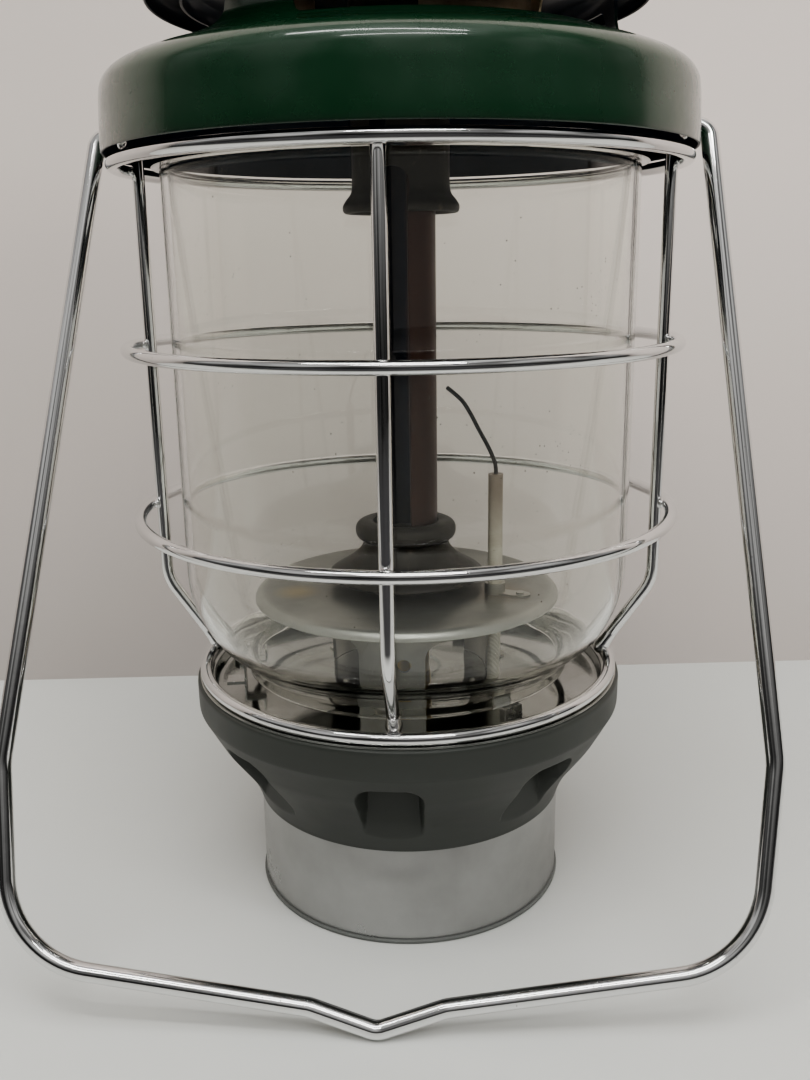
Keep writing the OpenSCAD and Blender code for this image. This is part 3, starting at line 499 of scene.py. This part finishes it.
def sheet(line, thickness, left=True, lip=4):
    """Closed outline of a sheet that follows a line of (r, z) points, with rounded ends."""
    pts = [Vector(p) for p in line]
    normals = []
    for i, p in enumerate(pts):
        before = (p - pts[i - 1]).normalized() if i else Vector((0, 0))
        after = (pts[i + 1] - p).normalized() if i < len(pts) - 1 else Vector((0, 0))
        d = (before + after).normalized()
        normals.append(Vector((-d.y, d.x)) * (1 if left else -1))
    inner = [p + n * thickness for p, n in zip(pts, normals)]

    def cap(a, b, out):
        centre, half = (a + b) / 2, (a - b) / 2
        turn = out.normalized() * half.length * 0.9
        return [centre + half * math.cos(t) + turn * math.sin(t)
                for t in (math.pi * k / lip for k in range(1, lip))]

    first = cap(inner[0], pts[0], pts[0] - pts[1])
    last = cap(pts[-1], inner[-1], pts[-1] - pts[-2])
    return [tuple(p) for p in pts + last + inner[::-1] + first]


def rounded(points, bends, step=6.0):
    """Open line with each inner corner replaced by an arc; points in one plane or in space."""
    pts = [Vector(p) for p in points]
    line = [pts[0]]
    for i in range(1, len(pts) - 1):
        u = (pts[i] - pts[i - 1]).normalized()
        v = (pts[i + 1] - pts[i]).normalized()
        angle = u.angle(v)
        r = bends[i - 1]
        reach = r * math.tan(angle / 2)
        start = pts[i] - u * reach
        side = (v - u * u.dot(v)).normalized()
        count = max(2, int(math.degrees(angle) / step) + 1)
        for k in range(count + 1):
            a = angle * k / count
            line.append(start + u * (r * math.sin(a)) + side * (r * (1 - math.cos(a))))
    line.append(pts[-1])
    return line


def tube(bm, line, radius, closed=False, sides=24, ends="dome"):
    """Sweeps a round section along a line of points in millimetres."""
    pts = [Vector(p) * MM for p in line]
    count = len(pts)
    tangents = []
    for i in range(count):
        a = pts[i - 1] if i or closed else pts[0]
        b = pts[(i + 1) % count] if i < count - 1 or closed else pts[-1]
        tangents.append((b - a).normalized())
    helper = Vector((0, 0, 1)) if abs(tangents[0].z) < 0.9 else Vector((0, 1, 0))
    normal = tangents[0].cross(helper).normalized()
    rings = []

    def ring_at(centre, t, n, r):
        b = t.cross(n)
        return [bm.verts.new(centre + (n * math.cos(a) + b * math.sin(a)) * r)
                for a in (2 * math.pi * k / sides for k in range(sides))]

    radii = radius if callable(radius) else (lambda share: radius)
    if not closed and ends == "dome":
        r = radii(0) * MM
        for k in range(1, 5):
            a = math.pi / 2 * k / 5
            dome = pts[0] - tangents[0] * r * 0.5 * math.cos(a)
            rings.append(ring_at(dome, tangents[0], normal, r * math.sin(a)))
    for i in range(count):
        normal = (normal - tangents[i] * normal.dot(tangents[i])).normalized()
        rings.append(ring_at(pts[i], tangents[i], normal, radii(i / (count - 1)) * MM))
    if not closed and ends == "dome":
        r = radii(1) * MM
        for k in range(4, 0, -1):
            a = math.pi / 2 * k / 5
            dome = pts[-1] + tangents[-1] * r * 0.5 * math.cos(a)
            rings.append(ring_at(dome, tangents[-1], normal, r * math.sin(a)))
    total = len(rings)
    for j in range(total if closed else total - 1):
        low, high = rings[j], rings[(j + 1) % total]
        for i in range(sides):
            k = (i + 1) % sides
            bm.faces.new((low[i], low[k], high[k], high[i]))
    if not closed:
        bm.faces.new(rings[0])
        bm.faces.new(rings[-1])


def circle(r, z, count=256):
    turns = (2 * math.pi * i / count for i in range(count))
    return [(r * math.cos(a), r * math.sin(a), z) for a in turns]


def toward(angle, r, z=0.0):
    """Point at an angle round from the front."""
    a = math.radians(angle)
    return Vector((r * math.sin(a), -r * math.cos(a), z))


# ---- wires ----

def guard():
    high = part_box("guard_rings")[1]
    wire, ring_pitch = 1.8, 49.2
    r = high.x / MM - wire
    heights = [high.z / MM - wire - ring_pitch * i for i in range(3)]
    bm = bmesh.new()
    for z in heights:
        tube(bm, circle(r, z), wire, closed=True, sides=28)
    finish_mesh("guard_rings_wire", bm, "chromed_wire", "base", ["guard_rings"])
    base_low, base_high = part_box("guard_base_ring")
    base_z = base_low.z / MM + wire
    base_r = base_high.x / MM - wire
    bm = bmesh.new()
    tube(bm, circle(base_r, base_z), wire, closed=True, sides=28)
    finish_mesh("guard_base_wire", bm, "chromed_wire", "base", ["guard_base_ring"])
    bm = bmesh.new()
    for i in range(4):
        side = toward(FIRST_UPRIGHT + i * 90, 1.0)
        stem_r = r - 2 * wire + 0.2
        corners = [side * stem_r + Vector((0, 0, 225.6)), side * stem_r + Vector((0, 0, 98)),
                   side * (base_r - 2.4) + Vector((0, 0, base_z + 2.8))]
        line = rounded(corners, [14.0], 3.0)
        tube(bm, line, wire, sides=28)
        foot = corners[-1]
        lean = (corners[1] - corners[2]).normalized()
        beads = [foot + lean * t for t in (-1.6, -0.9, 0.2, 1.6, 3.4, 5.4)]
        sizes = [1.5, 2.2, 2.38, 2.2, 1.95, 1.82]
        tube(bm, beads, lambda share, sizes=sizes: sizes[round(share * 5)])
        for z in heights:
            spot = side * (r - wire + 0.1) + Vector((0, 0, z))
            across = side.cross(Vector((0, 0, 1)))
            tube(bm, [spot + across * t for t in (-2.0, -1.4, 0, 1.4, 2.0)],
                 lambda share: 1.4 - 2.4 * (share - 0.5) ** 2)
    finish_mesh("guard_upright_wires", bm, "chromed_wire", "base", ["guard_uprights"])


def bail():
    half = [(86.5, 0.0), (102.9, -176.2), (97.6, -227.3), (17.8, -238.4)]
    lean = 6.2 / 244.2
    bends = [4, 22, 26, 8]
    pts = [(79.8, 0.0)] + half + [(0.0, -244.2)] + [(-x, z) for x, z in half[::-1]] + [(-79.8, 0.0)]
    line = rounded([(x + lean * z, 0.0, z) for x, z in pts], bends + [6] + bends[::-1], 4.0)
    tilt = Matrix.Rotation(math.radians(-21.06), 3, "X")
    pivot = Vector((0, 0, 230.3))
    bm = bmesh.new()
    tube(bm, [pivot + tilt @ p for p in line], 2.5, sides=32)
    for s in (-1, 1):
        tube(bm, [pivot + Vector((s * x, 0, 0)) for x in (79.7, 80.0, 80.5, 80.8)],
             lambda share: 3.6 - 0.5 * abs(2 * share - 1) ** 3)
    finish_mesh("bail_wire", bm, "chromed_wire", "bail", ["bail"])


# ---- round shells ----

def globe():
    low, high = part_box("globe")
    bottom, top = low.z / MM, high.z / MM
    r = high.x / MM
    line = smooth_line([(50.4, bottom + 0.5), (50.5, 74.6), (50.8, 76.6), (52.4, 78.7), (55.8, 80.9),
                        (60.1, 84.6), (63.4, 89.8), (65.8, 95.4), (67.1, 101.4), (r, 108.5), (r, 125),
                        (r, 150), (r, 175), (r, 200), (r, top - 3), (r, top - 0.9)], 6)
    line = [(min(p.x, r), p.y) for p in line]
    bm = bmesh.new()
    lathe(bm, sheet(line, 2.2, lip=8), 256)
    finish_mesh("globe_glass", bm, "clear_glass", "globe", ["globe"], 60)


def hood_profile():
    return smooth_line([(82.5, 223.75), (82.48, 227.5), (82.2, 233), (81.9, 237.6), (81.2, 240.7),
                        (79.2, 243.2), (75.4, 245.1), (69.5, 246.8), (64.2, 248.6), (60.9, 251.3),
                        (59.7, 254.8), (59.4, 258.4), (58.9, 263.4), (57.4, 266.0), (53.5, 267.3),
                        (40, 268.7), (16, 270.2)], 5)


def cutter_of(bm):
    """Temporary object that is subtracted from a piece and then removed."""
    bmesh.ops.recalc_face_normals(bm, faces=bm.faces)
    mesh = bpy.data.meshes.new("cutter")
    bm.to_mesh(mesh)
    bm.free()
    cutter = bpy.data.objects.new("cutter", mesh)
    bpy.context.scene.collection.objects.link(cutter)
    return cutter


def cut(piece, cutters):
    """Subtracts cutters from a piece and keeps the result as its mesh."""
    for cutter in cutters:
        modifier = piece.modifiers.new("cut", "BOOLEAN")
        modifier.object = cutter
        modifier.solver = "EXACT"
    graph = bpy.context.evaluated_depsgraph_get()
    mesh = bpy.data.meshes.new_from_object(piece.evaluated_get(graph))
    piece.modifiers.clear()
    piece.data = mesh
    for cutter in cutters:
        bpy.data.objects.remove(cutter)


def window_cutter(centre, span, z0, z1, corner):
    """Sector-shaped cutter with rounded corners, as its outline swept outwards."""
    mid_r = 60.0
    half = math.radians(span / 2) * mid_r
    outline = []
    for cx, cz, start in ((half - corner, z1 - corner, 0), (corner - half, z1 - corner, 90),
                          (corner - half, z0 + corner, 180), (half - corner, z0 + corner, 270)):
        for k in range(9):
            a = math.radians(start + 90 * k / 8)
            outline.append((cx + corner * math.cos(a), cz + corner * math.sin(a)))
    dense = []
    for i, p in enumerate(outline):
        q = outline[(i + 1) % len(outline)]
        steps = max(1, int(abs(q[0] - p[0]) / 3))
        dense += [(p[0] + (q[0] - p[0]) * k / steps, p[1] + (q[1] - p[1]) * k / steps) for k in range(steps)]
    bm = bmesh.new()
    rings = []
    for r in (50.0, 90.0):
        rings.append([bm.verts.new(toward(centre + math.degrees(s / mid_r), r, z) * MM) for s, z in dense])
    count = len(dense)
    for i in range(count):
        k = (i + 1) % count
        bm.faces.new((rings[0][i], rings[0][k], rings[1][k], rings[1][i]))
    for ring in rings:
        bm.faces.new(ring)
    bmesh.ops.triangulate(bm, faces=[f for f in bm.faces if len(f.verts) > 4])
    return cutter_of(bm)


def hood():
    line = hood_profile()
    section = sheet(line, 0.7, lip=6)
    bm = bmesh.new()
    lathe(bm, section, 288)
    piece = finish_mesh("ventilator_hood_shell", bm, "green_enamel", "ventilator", ["ventilator_hood"])
    cut(piece, [window_cutter(FIRST_POST + 60 + i * 120, 100, 249.5, 262, 4) for i in range(3)])
    shade(piece, 40)


def cap():
    line = smooth_line([(68.6, 262.5), (69.15, 263.6), (69.0, 265.6), (68.2, 267.6), (66.2, 269.0),
                        (62.4, 270.3), (52, 272.6), (40, 274.4), (27, 275.5), (19.5, 275.6), (16.2, 275.0),
                        (13.8, 273.6), (12.4, 272.2), (11.0, 271.0)], 5)
    bm = bmesh.new()
    lathe(bm, sheet(line + [Vector((3.4, 271.0))], 0.7, lip=6), 256)
    finish_mesh("ventilator_cap_shell", bm, "green_enamel", "ventilator", ["ventilator_cap"])


def nut():
    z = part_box("ball_nut")[0].z / MM
    line = smooth_line([(5.9, z + 0.5), (5.9, z + 2.0), (6.6, z + 2.9), (7.35, z + 4.6), (7.6, z + 6.9),
                        (7.25, z + 9.6), (6.0, z + 12.3), (3.9, z + 14.2), (1.6, z + 15.0)], 5)
    bm = bmesh.new()
    lathe(bm, [(0.02, z + 0.02), (5.4, z)] + [tuple(p) for p in line] + [(0.02, z + 15.1)], 96, closed=False)
    finish_mesh("ball_nut_body", bm, "chromed_nut", "ball_nut", ["ball_nut"])


# ---- base shells ----

def smoothstep(x):
    x = min(1.0, max(0.0, x))
    return x * x * (3 - 2 * x)


def pocket_depth(angle, z, grow):
    """0 outside a grip pocket, 1 inside it, with soft edges; and the distance of its flat back wall."""
    pitch = 360 / POCKETS
    local = (angle - FIRST_POCKET + pitch / 2) % pitch - pitch / 2
    s = math.radians(local) * 54.0
    top, corner, soft = 57.2 + grow, 4.5, 1.0
    half = 7.7 + grow + 0.05 * (57.2 - z)
    dx = abs(s) - (half - corner)
    dz = z - (top - corner)
    distance = math.hypot(max(dx, 0), max(dz, 0)) + min(max(dx, dz), 0) - corner
    back = (50.6 - grow) / math.cos(math.radians(local))
    return smoothstep(0.5 - distance / soft), back


def round_cutter(at, along, radius, length):
    """Many-sided rod used to cut a hole."""
    bm = bmesh.new()
    tube(bm, [Vector(at), Vector(at) + Vector(along) * length], radius, sides=48, ends="flat")
    return cutter_of(bm)


def skirt():
    outer = smooth_line([(48.75, 30.75), (49.2, 32.4), (50.6, 36.0), (52.5, 39.8), (54.9, 43.5), (57.7, 47.3),
                         (60.6, 51.4), (62.2, 54.2), (63.8, 57.1), (65.2, 59.7), (66.0, 61.15), (66.32, 61.8),
                         (66.45, 62.6), (66.5, 65.0), (66.5, 68.0), (66.5, 69.6), (66.3, 70.3),
                         (65.8, 70.65)], 7)
    inner = [(64.3, 70.65), (64.3, 64.8), (54, 64.8), (54, 62.3), (63.6, 62.3)]
    slope = [(63.4, 61.6), (58.4, 52.6), (55.2, 48.0), (51.0, 42.0), (48.6, 37.0), (46.6, 33.4)]
    for (r0, z0), (r1, z1) in zip(slope, slope[1:]):
        steps = int((z0 - z1) / 0.7) + 1
        inner += [(r0 + (r1 - r0) * k / steps, z0 + (z1 - z0) * k / steps) for k in range(steps)]
    inner += [(46.4, 33.0), (46.3, 31.0), (46.3, 1.4)]
    tube_wall = [(47.8, 1.4), (47.8, 15.0), (47.8, 30.6), (48.3, 30.72)]
    angles = []
    for k in range(POCKETS):
        centre = FIRST_POCKET + k * 360 / POCKETS
        stops = [-22.5 + 1.5 * i for i in range(8)] + [-11.2 + 0.3 * i for i in range(18)]
        stops += [-5.6 + 1.4 * i for i in range(5)]
        stops = sorted(stops + [-v for v in stops[1:]])
        angles += [centre + v for v in stops]
    bm = bmesh.new()
    rows = []
    section = [(p.x, p.y, 0.0) for p in outer] + [(r, z, 1.9) for r, z in inner + tube_wall]
    for r, z, grow in section:
        row = []
        for angle in angles:
            reach = r
            if 33 < z < 62:
                inside, back = pocket_depth(angle, z, grow)
                reach = r - inside * max(0.0, r - back)
            row.append(bm.verts.new(toward(angle, reach, z) * MM))
        rows.append(row)
    count = len(angles)
    for j in range(len(rows)):
        low, high = rows[j], rows[(j + 1) % len(rows)]
        for i in range(count):
            k = (i + 1) % count
            bm.faces.new((low[i], low[k], high[k], high[i]))
    piece = finish_mesh("skirt_shell", bm, "skirt_plastic", "base", ["skirt"])
    cut(piece, [round_cutter((0, 40, 40), (0, 1, 0), 4.0, 30),
                round_cutter(toward(IGNITER_TURN, 40, 42), toward(IGNITER_TURN, 1), 6.2, 30)])
    shade(piece, 50)


def pan():
    line = [Vector((7.2, 66.4)), Vector((20, 66.4)), Vector((40, 66.4)), Vector((54, 66.4))]
    line += smooth_line([(58.2, 66.4), (59.7, 66.55), (60.6, 67.2), (60.85, 68.4), (60.95, 69.9),
                         (61.15, 70.8), (61.8, 71.28), (63.0, 71.3), (65.4, 71.3)], 4)
    bm = bmesh.new()
    lathe(bm, sheet(line, 0.6, left=False, lip=5), 256)
    finish_mesh("base_pan_shell", bm, "bright_pan", "base", ["base_pan"])


def band():
    low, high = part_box("label_band")
    bottom, top, r = low.z / MM, high.z / MM, high.x / MM
    bm = bmesh.new()
    lathe(bm, [(r - 0.3, bottom), (r - 0.06, bottom + 0.06), (r, bottom + 0.3), (r, 10), (r, 20),
               (r, top - 0.3), (r - 0.06, top - 0.06), (r - 0.3, top)], 256)
    finish_mesh("label_band_sheet", bm, "silver_band", "base", ["label_band"], 60)
    bm = bmesh.new()
    lathe(bm, [(44.4, 0.5), (44.9, 0.05), (46.5, 0), (48.2, 0.02), (48.7, 0.25), (48.9, 0.7), (48.85, 1.1),
               (48.5, 1.3), (46.25, 1.3), (46.25, 5), (44.4, 5)], 256)
    finish_mesh("foot_edging_ring", bm, "foot_edging", "base", ["foot_ring"])


# ---- burner shells ----

def heat_shield():
    line = [Vector((12.15, 97)), Vector((20, 97)), Vector((32, 97)), Vector((41, 97))]
    line += smooth_line([(43.2, 97), (44.9, 96.8), (46.2, 96.3), (47.0, 95.55), (47.35, 94.9),
                         (47.45, 94.3)], 5)
    bm = bmesh.new()
    lathe(bm, sheet(line, 0.8, left=False, lip=6), 256)
    shield = finish_mesh("heat_shield_disc", bm, "shield_steel", "base", ["heat_shield"])
    cut(shield, [round_cutter((*ELECTRODE, 93), (0, 0, 1), 2.3, 8)])
    shade(shield, 40)


def burner_base():
    cone = smooth_line([(12, 97.02), (14, 97.04), (14.05, 99), (14.6, 100.5), (19, 100.2), (23.2, 100.15),
                        (24.1, 100.65), (23.6, 101.5), (21.4, 102.9), (18.6, 104.6), (15.9, 106.6),
                        (14.1, 108.6), (13.25, 110.2), (12.6, 111.1)], 6)
    bm = bmesh.new()
    lathe(bm, [(7.05, 94), (12, 94)] + [tuple(p) for p in cone] + [(7.05, 111.15)], 160)
    finish_mesh("burner_cone_bell", bm, "burner_dark", "base", ["burner_cone"])
    collar = smooth_line([(12.6, 111.25), (13.7, 111.7), (15.0, 112.5), (15.55, 114.0), (15.45, 115.6),
                          (14.6, 116.8), (13.1, 117.4), (11.4, 117.55), (10.2, 117.3)], 6)
    bm = bmesh.new()
    lathe(bm, [(6.25, 111.25)] + [tuple(p) for p in collar] + [(10.2, 113.85), (6.25, 113.85)], 160)
    finish_mesh("burner_collar_ring", bm, "burner_dark", "base", ["burner_collar"])


def arch_cutter(centre, half, foot, spring):
    """Round-headed slot cutter: half its width, its foot and the height where its head begins."""
    bm = bmesh.new()
    turns = (math.pi * k / 14 for k in range(1, 14))
    head = [(half * math.cos(a), spring + half * math.sin(a)) for a in turns]
    shape = [(-half, foot), (half, foot), (half, spring)] + head + [(-half, spring)]
    rings = [[bm.verts.new((toward(centre, r) + toward(centre + 90, s) + Vector((0, 0, z))) * MM)
              for s, z in shape] for r in (8.0, 20.0)]
    for i in range(len(shape)):
        k = (i + 1) % len(shape)
        bm.faces.new((rings[0][i], rings[0][k], rings[1][k], rings[1][i]))
    for ring in rings:
        bm.faces.new(ring)
    return cutter_of(bm)


def burner_top():
    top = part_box("burner_cap")[1].z / MM
    lip = smooth_line([(12.8, 215.0), (12.9, 212.4), (13.5, 210.2), (14.5, 208.6), (15.6, 208.0),
                       (16.5, 208.3), (16.85, 209.2), (16.7, 210.3), (15.8, 211.7), (14.6, 213.2),
                       (14.1, 215.0), (14.0, 217.2)], 6)
    crown = smooth_line([(14.0, 266.0), (13.9, 267.8), (13.2, 268.9), (12.0, top)], 5)
    bm = bmesh.new()
    outline = [(0.02, top), (0.02, 264), (12.8, 264), (12.8, 225.6), (9.95, 225.6), (9.95, 222), (12.8, 222)]
    outline += [tuple(p) for p in lip] + [(14.0, 230), (14.0, 250)] + [tuple(p) for p in crown]
    lathe(bm, outline, 160)
    piece = finish_mesh("burner_cap_shell", bm, "burner_dark", "base", ["burner_cap"])
    cut(piece, [arch_cutter(-9, 5.0, 206, 215.1)])
    shade(piece, 40)


def rolled_edge(r_out, r_in, angle, way):
    """Five points round the free edge of a curved sheet, bulging one way round the centre."""
    a = math.radians(angle)
    mid, half = (r_out + r_in) / 2, (r_out - r_in) / 2
    points = []
    for k in range(1, 6):
        t = math.pi * k / 6
        r = mid + way * half * math.cos(t)
        bulge = way * half * 0.8 * math.sin(t)
        points.append((r * math.cos(a) - bulge * math.sin(a), r * math.sin(a) + bulge * math.cos(a)))
    return points


def column():
    """Open C-section tube with rolled free edges."""
    r_out, r_in, z0, z1 = 9.9, 8.9, 113.85, 224.0
    start, arc, steps = -76.0, 210.0, 72
    outline = []
    for k in range(steps + 1):
        a = math.radians(start + arc * k / steps)
        outline.append((r_out * math.cos(a), r_out * math.sin(a)))
    outline += rolled_edge(r_out, r_in, start + arc, 1)
    for k in range(steps, -1, -1):
        a = math.radians(start + arc * k / steps)
        outline.append((r_in * math.cos(a), r_in * math.sin(a)))
    outline += rolled_edge(r_out, r_in, start, -1)
    bm = bmesh.new()
    levels = [z0 + (z1 - z0) * k / 24 for k in range(25)]
    rings = [[bm.verts.new(Vector((x, y, z)) * MM) for x, y in outline] for z in levels]
    for low, high in zip(rings, rings[1:]):
        for i in range(len(outline)):
            k = (i + 1) % len(outline)
            bm.faces.new((low[i], low[k], high[k], high[i]))
    for ring_verts in (rings[0], rings[-1]):
        half_count = steps + 1
        for k in range(steps):
            bm.faces.new((ring_verts[k], ring_verts[k + 1],
                          ring_verts[half_count + 5 + steps - k - 1], ring_verts[half_count + 5 + steps - k]))
        bm.faces.new([ring_verts[i] for i in range(steps, steps + 7)])
        bm.faces.new([ring_verts[i] for i in [len(outline) - 6 + j for j in range(6)]] + [ring_verts[0]])
    finish_mesh("burner_column_wall", bm, "column_dark", "base", ["burner_column"])


def spark_wire():
    """Thin wire out of the ceramic, bent over towards the column."""
    low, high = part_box("electrode_insulator")
    foot = (low + high) / 2 / MM
    top = high.z / MM
    along = Vector((-14.3, -0.5, 0)).normalized()
    line = smooth_line([(0, top - 8), (0, top - 2), (0, top + 1.5), (0.6, top + 4.2), (2.6, top + 8.6),
                        (5.2, top + 13.4), (7.7, top + 18.2), (10.2, top + 21.9), (14.2, top + 25.4)], 6)
    bm = bmesh.new()
    base = Vector((foot.x, foot.y, 0))
    tube(bm, [base + along * p.x + Vector((0, 0, p.y)) for p in line], 0.6, sides=20)
    finish_mesh("electrode_spark_wire", bm, "burnt_wire", "base", ["electrode_wire"])


def igniter_coil():
    """Coil of the igniter spring, on a mesh of its own."""
    low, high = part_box("igniter_spring")
    z = (low.z + high.z) / 2 / MM
    out, side = toward(IGNITER_TURN, 1), toward(IGNITER_TURN + 90, 1)
    turns, start, length, r = 6, 40.6, 5.8, 3.0
    line = []
    for k in range(turns * 24 + 1):
        share = k / (turns * 24)
        a = 2 * math.pi * turns * share
        height = Vector((0, 0, z + r * math.sin(a)))
        line.append(out * (start + length * share) + side * (r * math.cos(a)) + height)
    bm = bmesh.new()
    tube(bm, line, 0.4, sides=12)
    piece = finish_mesh("igniter_spring_coil", bm, "spring_steel", "base", ["igniter_spring"])
    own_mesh(piece)


# ---- carried-over CAD nodes ----

def dress_nodes():
    for name, node in NODES.items():
        node.data.materials.clear()
        node.data.materials.append(MATERIALS[SLOT_OF[name]])
        for polygon in node.data.polygons:
            polygon.use_smooth = True
        node.data.set_sharp_from_angle(angle=math.radians(32))


# ---- stage ----

def stage():
    """Pale floor that looks dark past the table edge in reflections, and a wall seen only from its front,
    with painted shade low down and to the left.
    """
    floor = Shader("stage_floor")
    tone = floor.noise(3.0, 5.0, 0.6)
    pale = floor.mix(tone, rgb(0.50, 0.51, 0.49), rgb(0.58, 0.59, 0.57))
    path = floor.add("ShaderNodeLightPath").outputs
    mirrored = floor.math("SUBTRACT", path["Is Glossy Ray"], path["Is Transmission Ray"])
    past_edge = floor.math("MULTIPLY", mirrored, floor.span(floor.axes()[1], -0.16, -0.30))
    floor.set(Base_Color=floor.mix(past_edge, pale, rgb(0.03, 0.03, 0.032)), Roughness=0.34)
    wall = Shader("stage_wall")
    tone = wall.noise(3.0, 4.0, 0.5)
    paint = wall.mix(tone, rgb(0.66, 0.595, 0.555), rgb(0.72, 0.65, 0.61))
    # painted shade: the wall darkens towards the floor and towards the left
    low = wall.span(wall.axes()[2], 0.0, 0.24, 0.55, 0.0)
    low = wall.math("ADD", low, wall.span(wall.axes()[0], 0.12, -0.16, 0.0, 0.2))
    wall.set(Base_Color=wall.mix(low, paint, rgb(0.34, 0.315, 0.30)), Roughness=0.85)
    clear = wall.add("ShaderNodeBsdfTransparent")
    seen = wall.add("ShaderNodeMixShader")
    wall.link(wall.add("ShaderNodeNewGeometry").outputs["Backfacing"], seen.inputs[0])
    wall.link(wall.bsdf.outputs[0], seen.inputs[1])
    wall.link(clear.outputs[0], seen.inputs[2])
    wall.link(seen.outputs[0], wall.out.inputs["Surface"])
    w, distance, slope = 3, 0.1665, 0.065
    near, far = distance - slope * w, distance + slope * w
    for name, corners, shader in (
            ("floor", [(-w, -w, 0), (w, -w, 0), (w, w, 0), (-w, w, 0)], floor),
            ("wall", [(-w, near, 0), (w, far, 0), (w, far, w), (-w, near, w)], wall)):
        mesh = bpy.data.meshes.new(name)
        mesh.from_pydata(corners, [], [(0, 1, 2, 3)])
        plane = bpy.data.objects.new(name, mesh)
        mesh.materials.append(shader.material)
        bpy.context.scene.collection.objects.link(plane)


def area_light(name, at, aim, size, power, mirrored, colour=(1, 1, 1)):
    """Soft lamp; one that isn't mirrored lights surfaces but doesn't show in shiny ones."""
    lamp = bpy.data.lights.new(name, "AREA")
    lamp.shape = "RECTANGLE"
    lamp.size, lamp.size_y = size
    lamp.energy = power
    lamp.color = colour
    holder = bpy.data.objects.new(name, lamp)
    holder.location = at
    holder.rotation_euler = (Vector(aim) - Vector(at)).to_track_quat("-Z", "Y").to_euler()
    holder.visible_glossy = mirrored
    holder.visible_transmission = mirrored
    bpy.context.scene.collection.objects.link(holder)


def lights():
    warm = (1.0, 0.99, 0.97)
    area_light("overhead", (0.0, -0.6, 1.7), (0, 0.05, 0.05), (1.8, 1.4), 25, False, warm)
    area_light("front_fill", (0.5, -2.2, 1.0), (0, 0, 0.15), (1.8, 1.6), 9, False, warm)
    area_light("tube_near", (-0.1, -0.55, 1.5), (0, 0, 0.2), (1.2, 0.05), 5, True, warm)
    area_light("tube_far", (0.1, -1.25, 1.6), (0, 0, 0.2), (1.2, 0.05), 5, True, warm)
    area_light("window", (1.6, -0.9, 0.7), (0, 0, 0.15), (0.25, 0.7), 5, False, (0.96, 0.98, 1.0))


def room():
    """Soft grey surroundings: mottled in reflections, plain where seen directly or through glass."""
    world = bpy.data.worlds.new("room")
    world.use_nodes = True
    nodes = world.node_tree.nodes
    link = world.node_tree.links.new
    back = nodes["Background"]
    where = nodes.new("ShaderNodeTexCoord").outputs["Generated"]
    split = nodes.new("ShaderNodeSeparateXYZ")
    link(where, split.inputs[0])
    ramp = nodes.new("ShaderNodeValToRGB")
    link(split.outputs["Z"], ramp.inputs[0])
    heights = ((0.0, 0.03), (0.10, 0.035), (0.22, 0.10), (0.45, 0.30), (0.8, 0.42))
    elements = ramp.color_ramp.elements
    while len(elements) < len(heights):
        elements.new(0.5)
    for element, (at, value) in zip(elements, heights):
        element.position = at
        element.color = (value, value * 0.99, value * 0.97, 1)
    cloud = nodes.new("ShaderNodeTexNoise")
    cloud.inputs["Scale"].default_value = 2.4
    cloud.inputs["Detail"].default_value = 2.0
    link(where, cloud.inputs["Vector"])
    spread = nodes.new("ShaderNodeMapRange")
    link(cloud.outputs["Fac"], spread.inputs["Value"])
    for key, number in (("From Min", 0.4), ("From Max", 0.62), ("To Min", 0.35), ("To Max", 1.6)):
        spread.inputs[key].default_value = number
    link(ramp.outputs[0], back.inputs["Color"])
    link(spread.outputs[0], back.inputs["Strength"])
    plain = nodes.new("ShaderNodeBackground")
    plain.inputs["Color"].default_value = rgb(0.52, 0.51, 0.495)
    path = nodes.new("ShaderNodeLightPath")
    direct = nodes.new("ShaderNodeMath")
    direct.operation = "MAXIMUM"
    link(path.outputs["Is Camera Ray"], direct.inputs[0])
    link(path.outputs["Is Transmission Ray"], direct.inputs[1])
    backdrop = nodes.new("ShaderNodeMixShader")
    link(direct.outputs[0], backdrop.inputs[0])
    link(back.outputs[0], backdrop.inputs[1])
    link(plain.outputs[0], backdrop.inputs[2])
    link(backdrop.outputs[0], nodes["World Output"].inputs["Surface"])
    bpy.context.scene.world = world
    bpy.context.scene.view_settings.look = "AgX - Medium High Contrast"


def camera():
    """Camera a little to the right of the front, looking down on the lantern, with a slight roll."""
    lens = bpy.data.cameras.new("camera")
    lens.sensor_fit = "VERTICAL"
    lens.sensor_height = 24.0
    lens.lens = 1051.8 / 1080 * 24.0
    holder = bpy.data.objects.new("camera", lens)
    bpy.context.scene.collection.objects.link(holder)
    turn, pitch, roll = (math.radians(v) for v in (2.11, 14.85, 0.85))
    look = Vector((-math.sin(turn) * math.cos(pitch), math.cos(turn) * math.cos(pitch), -math.sin(pitch)))
    right = Vector((math.cos(turn), math.sin(turn), 0))
    up = right.cross(look)
    right, up = right * math.cos(roll) - up * math.sin(roll), up * math.cos(roll) + right * math.sin(roll)
    basis = Matrix((right, up, -look)).transposed()
    holder.matrix_world = Matrix.Translation((0.0114, -0.3176, 0.1947)) @ basis.to_4x4()
    bpy.context.scene.camera = holder


dress_nodes()
guard()
bail()
globe()
hood()
cap()
nut()
skirt()
pan()
band()
heat_shield()
burner_base()
burner_top()
column()
spark_wire()
igniter_coil()
stage()
lights()
room()
camera()
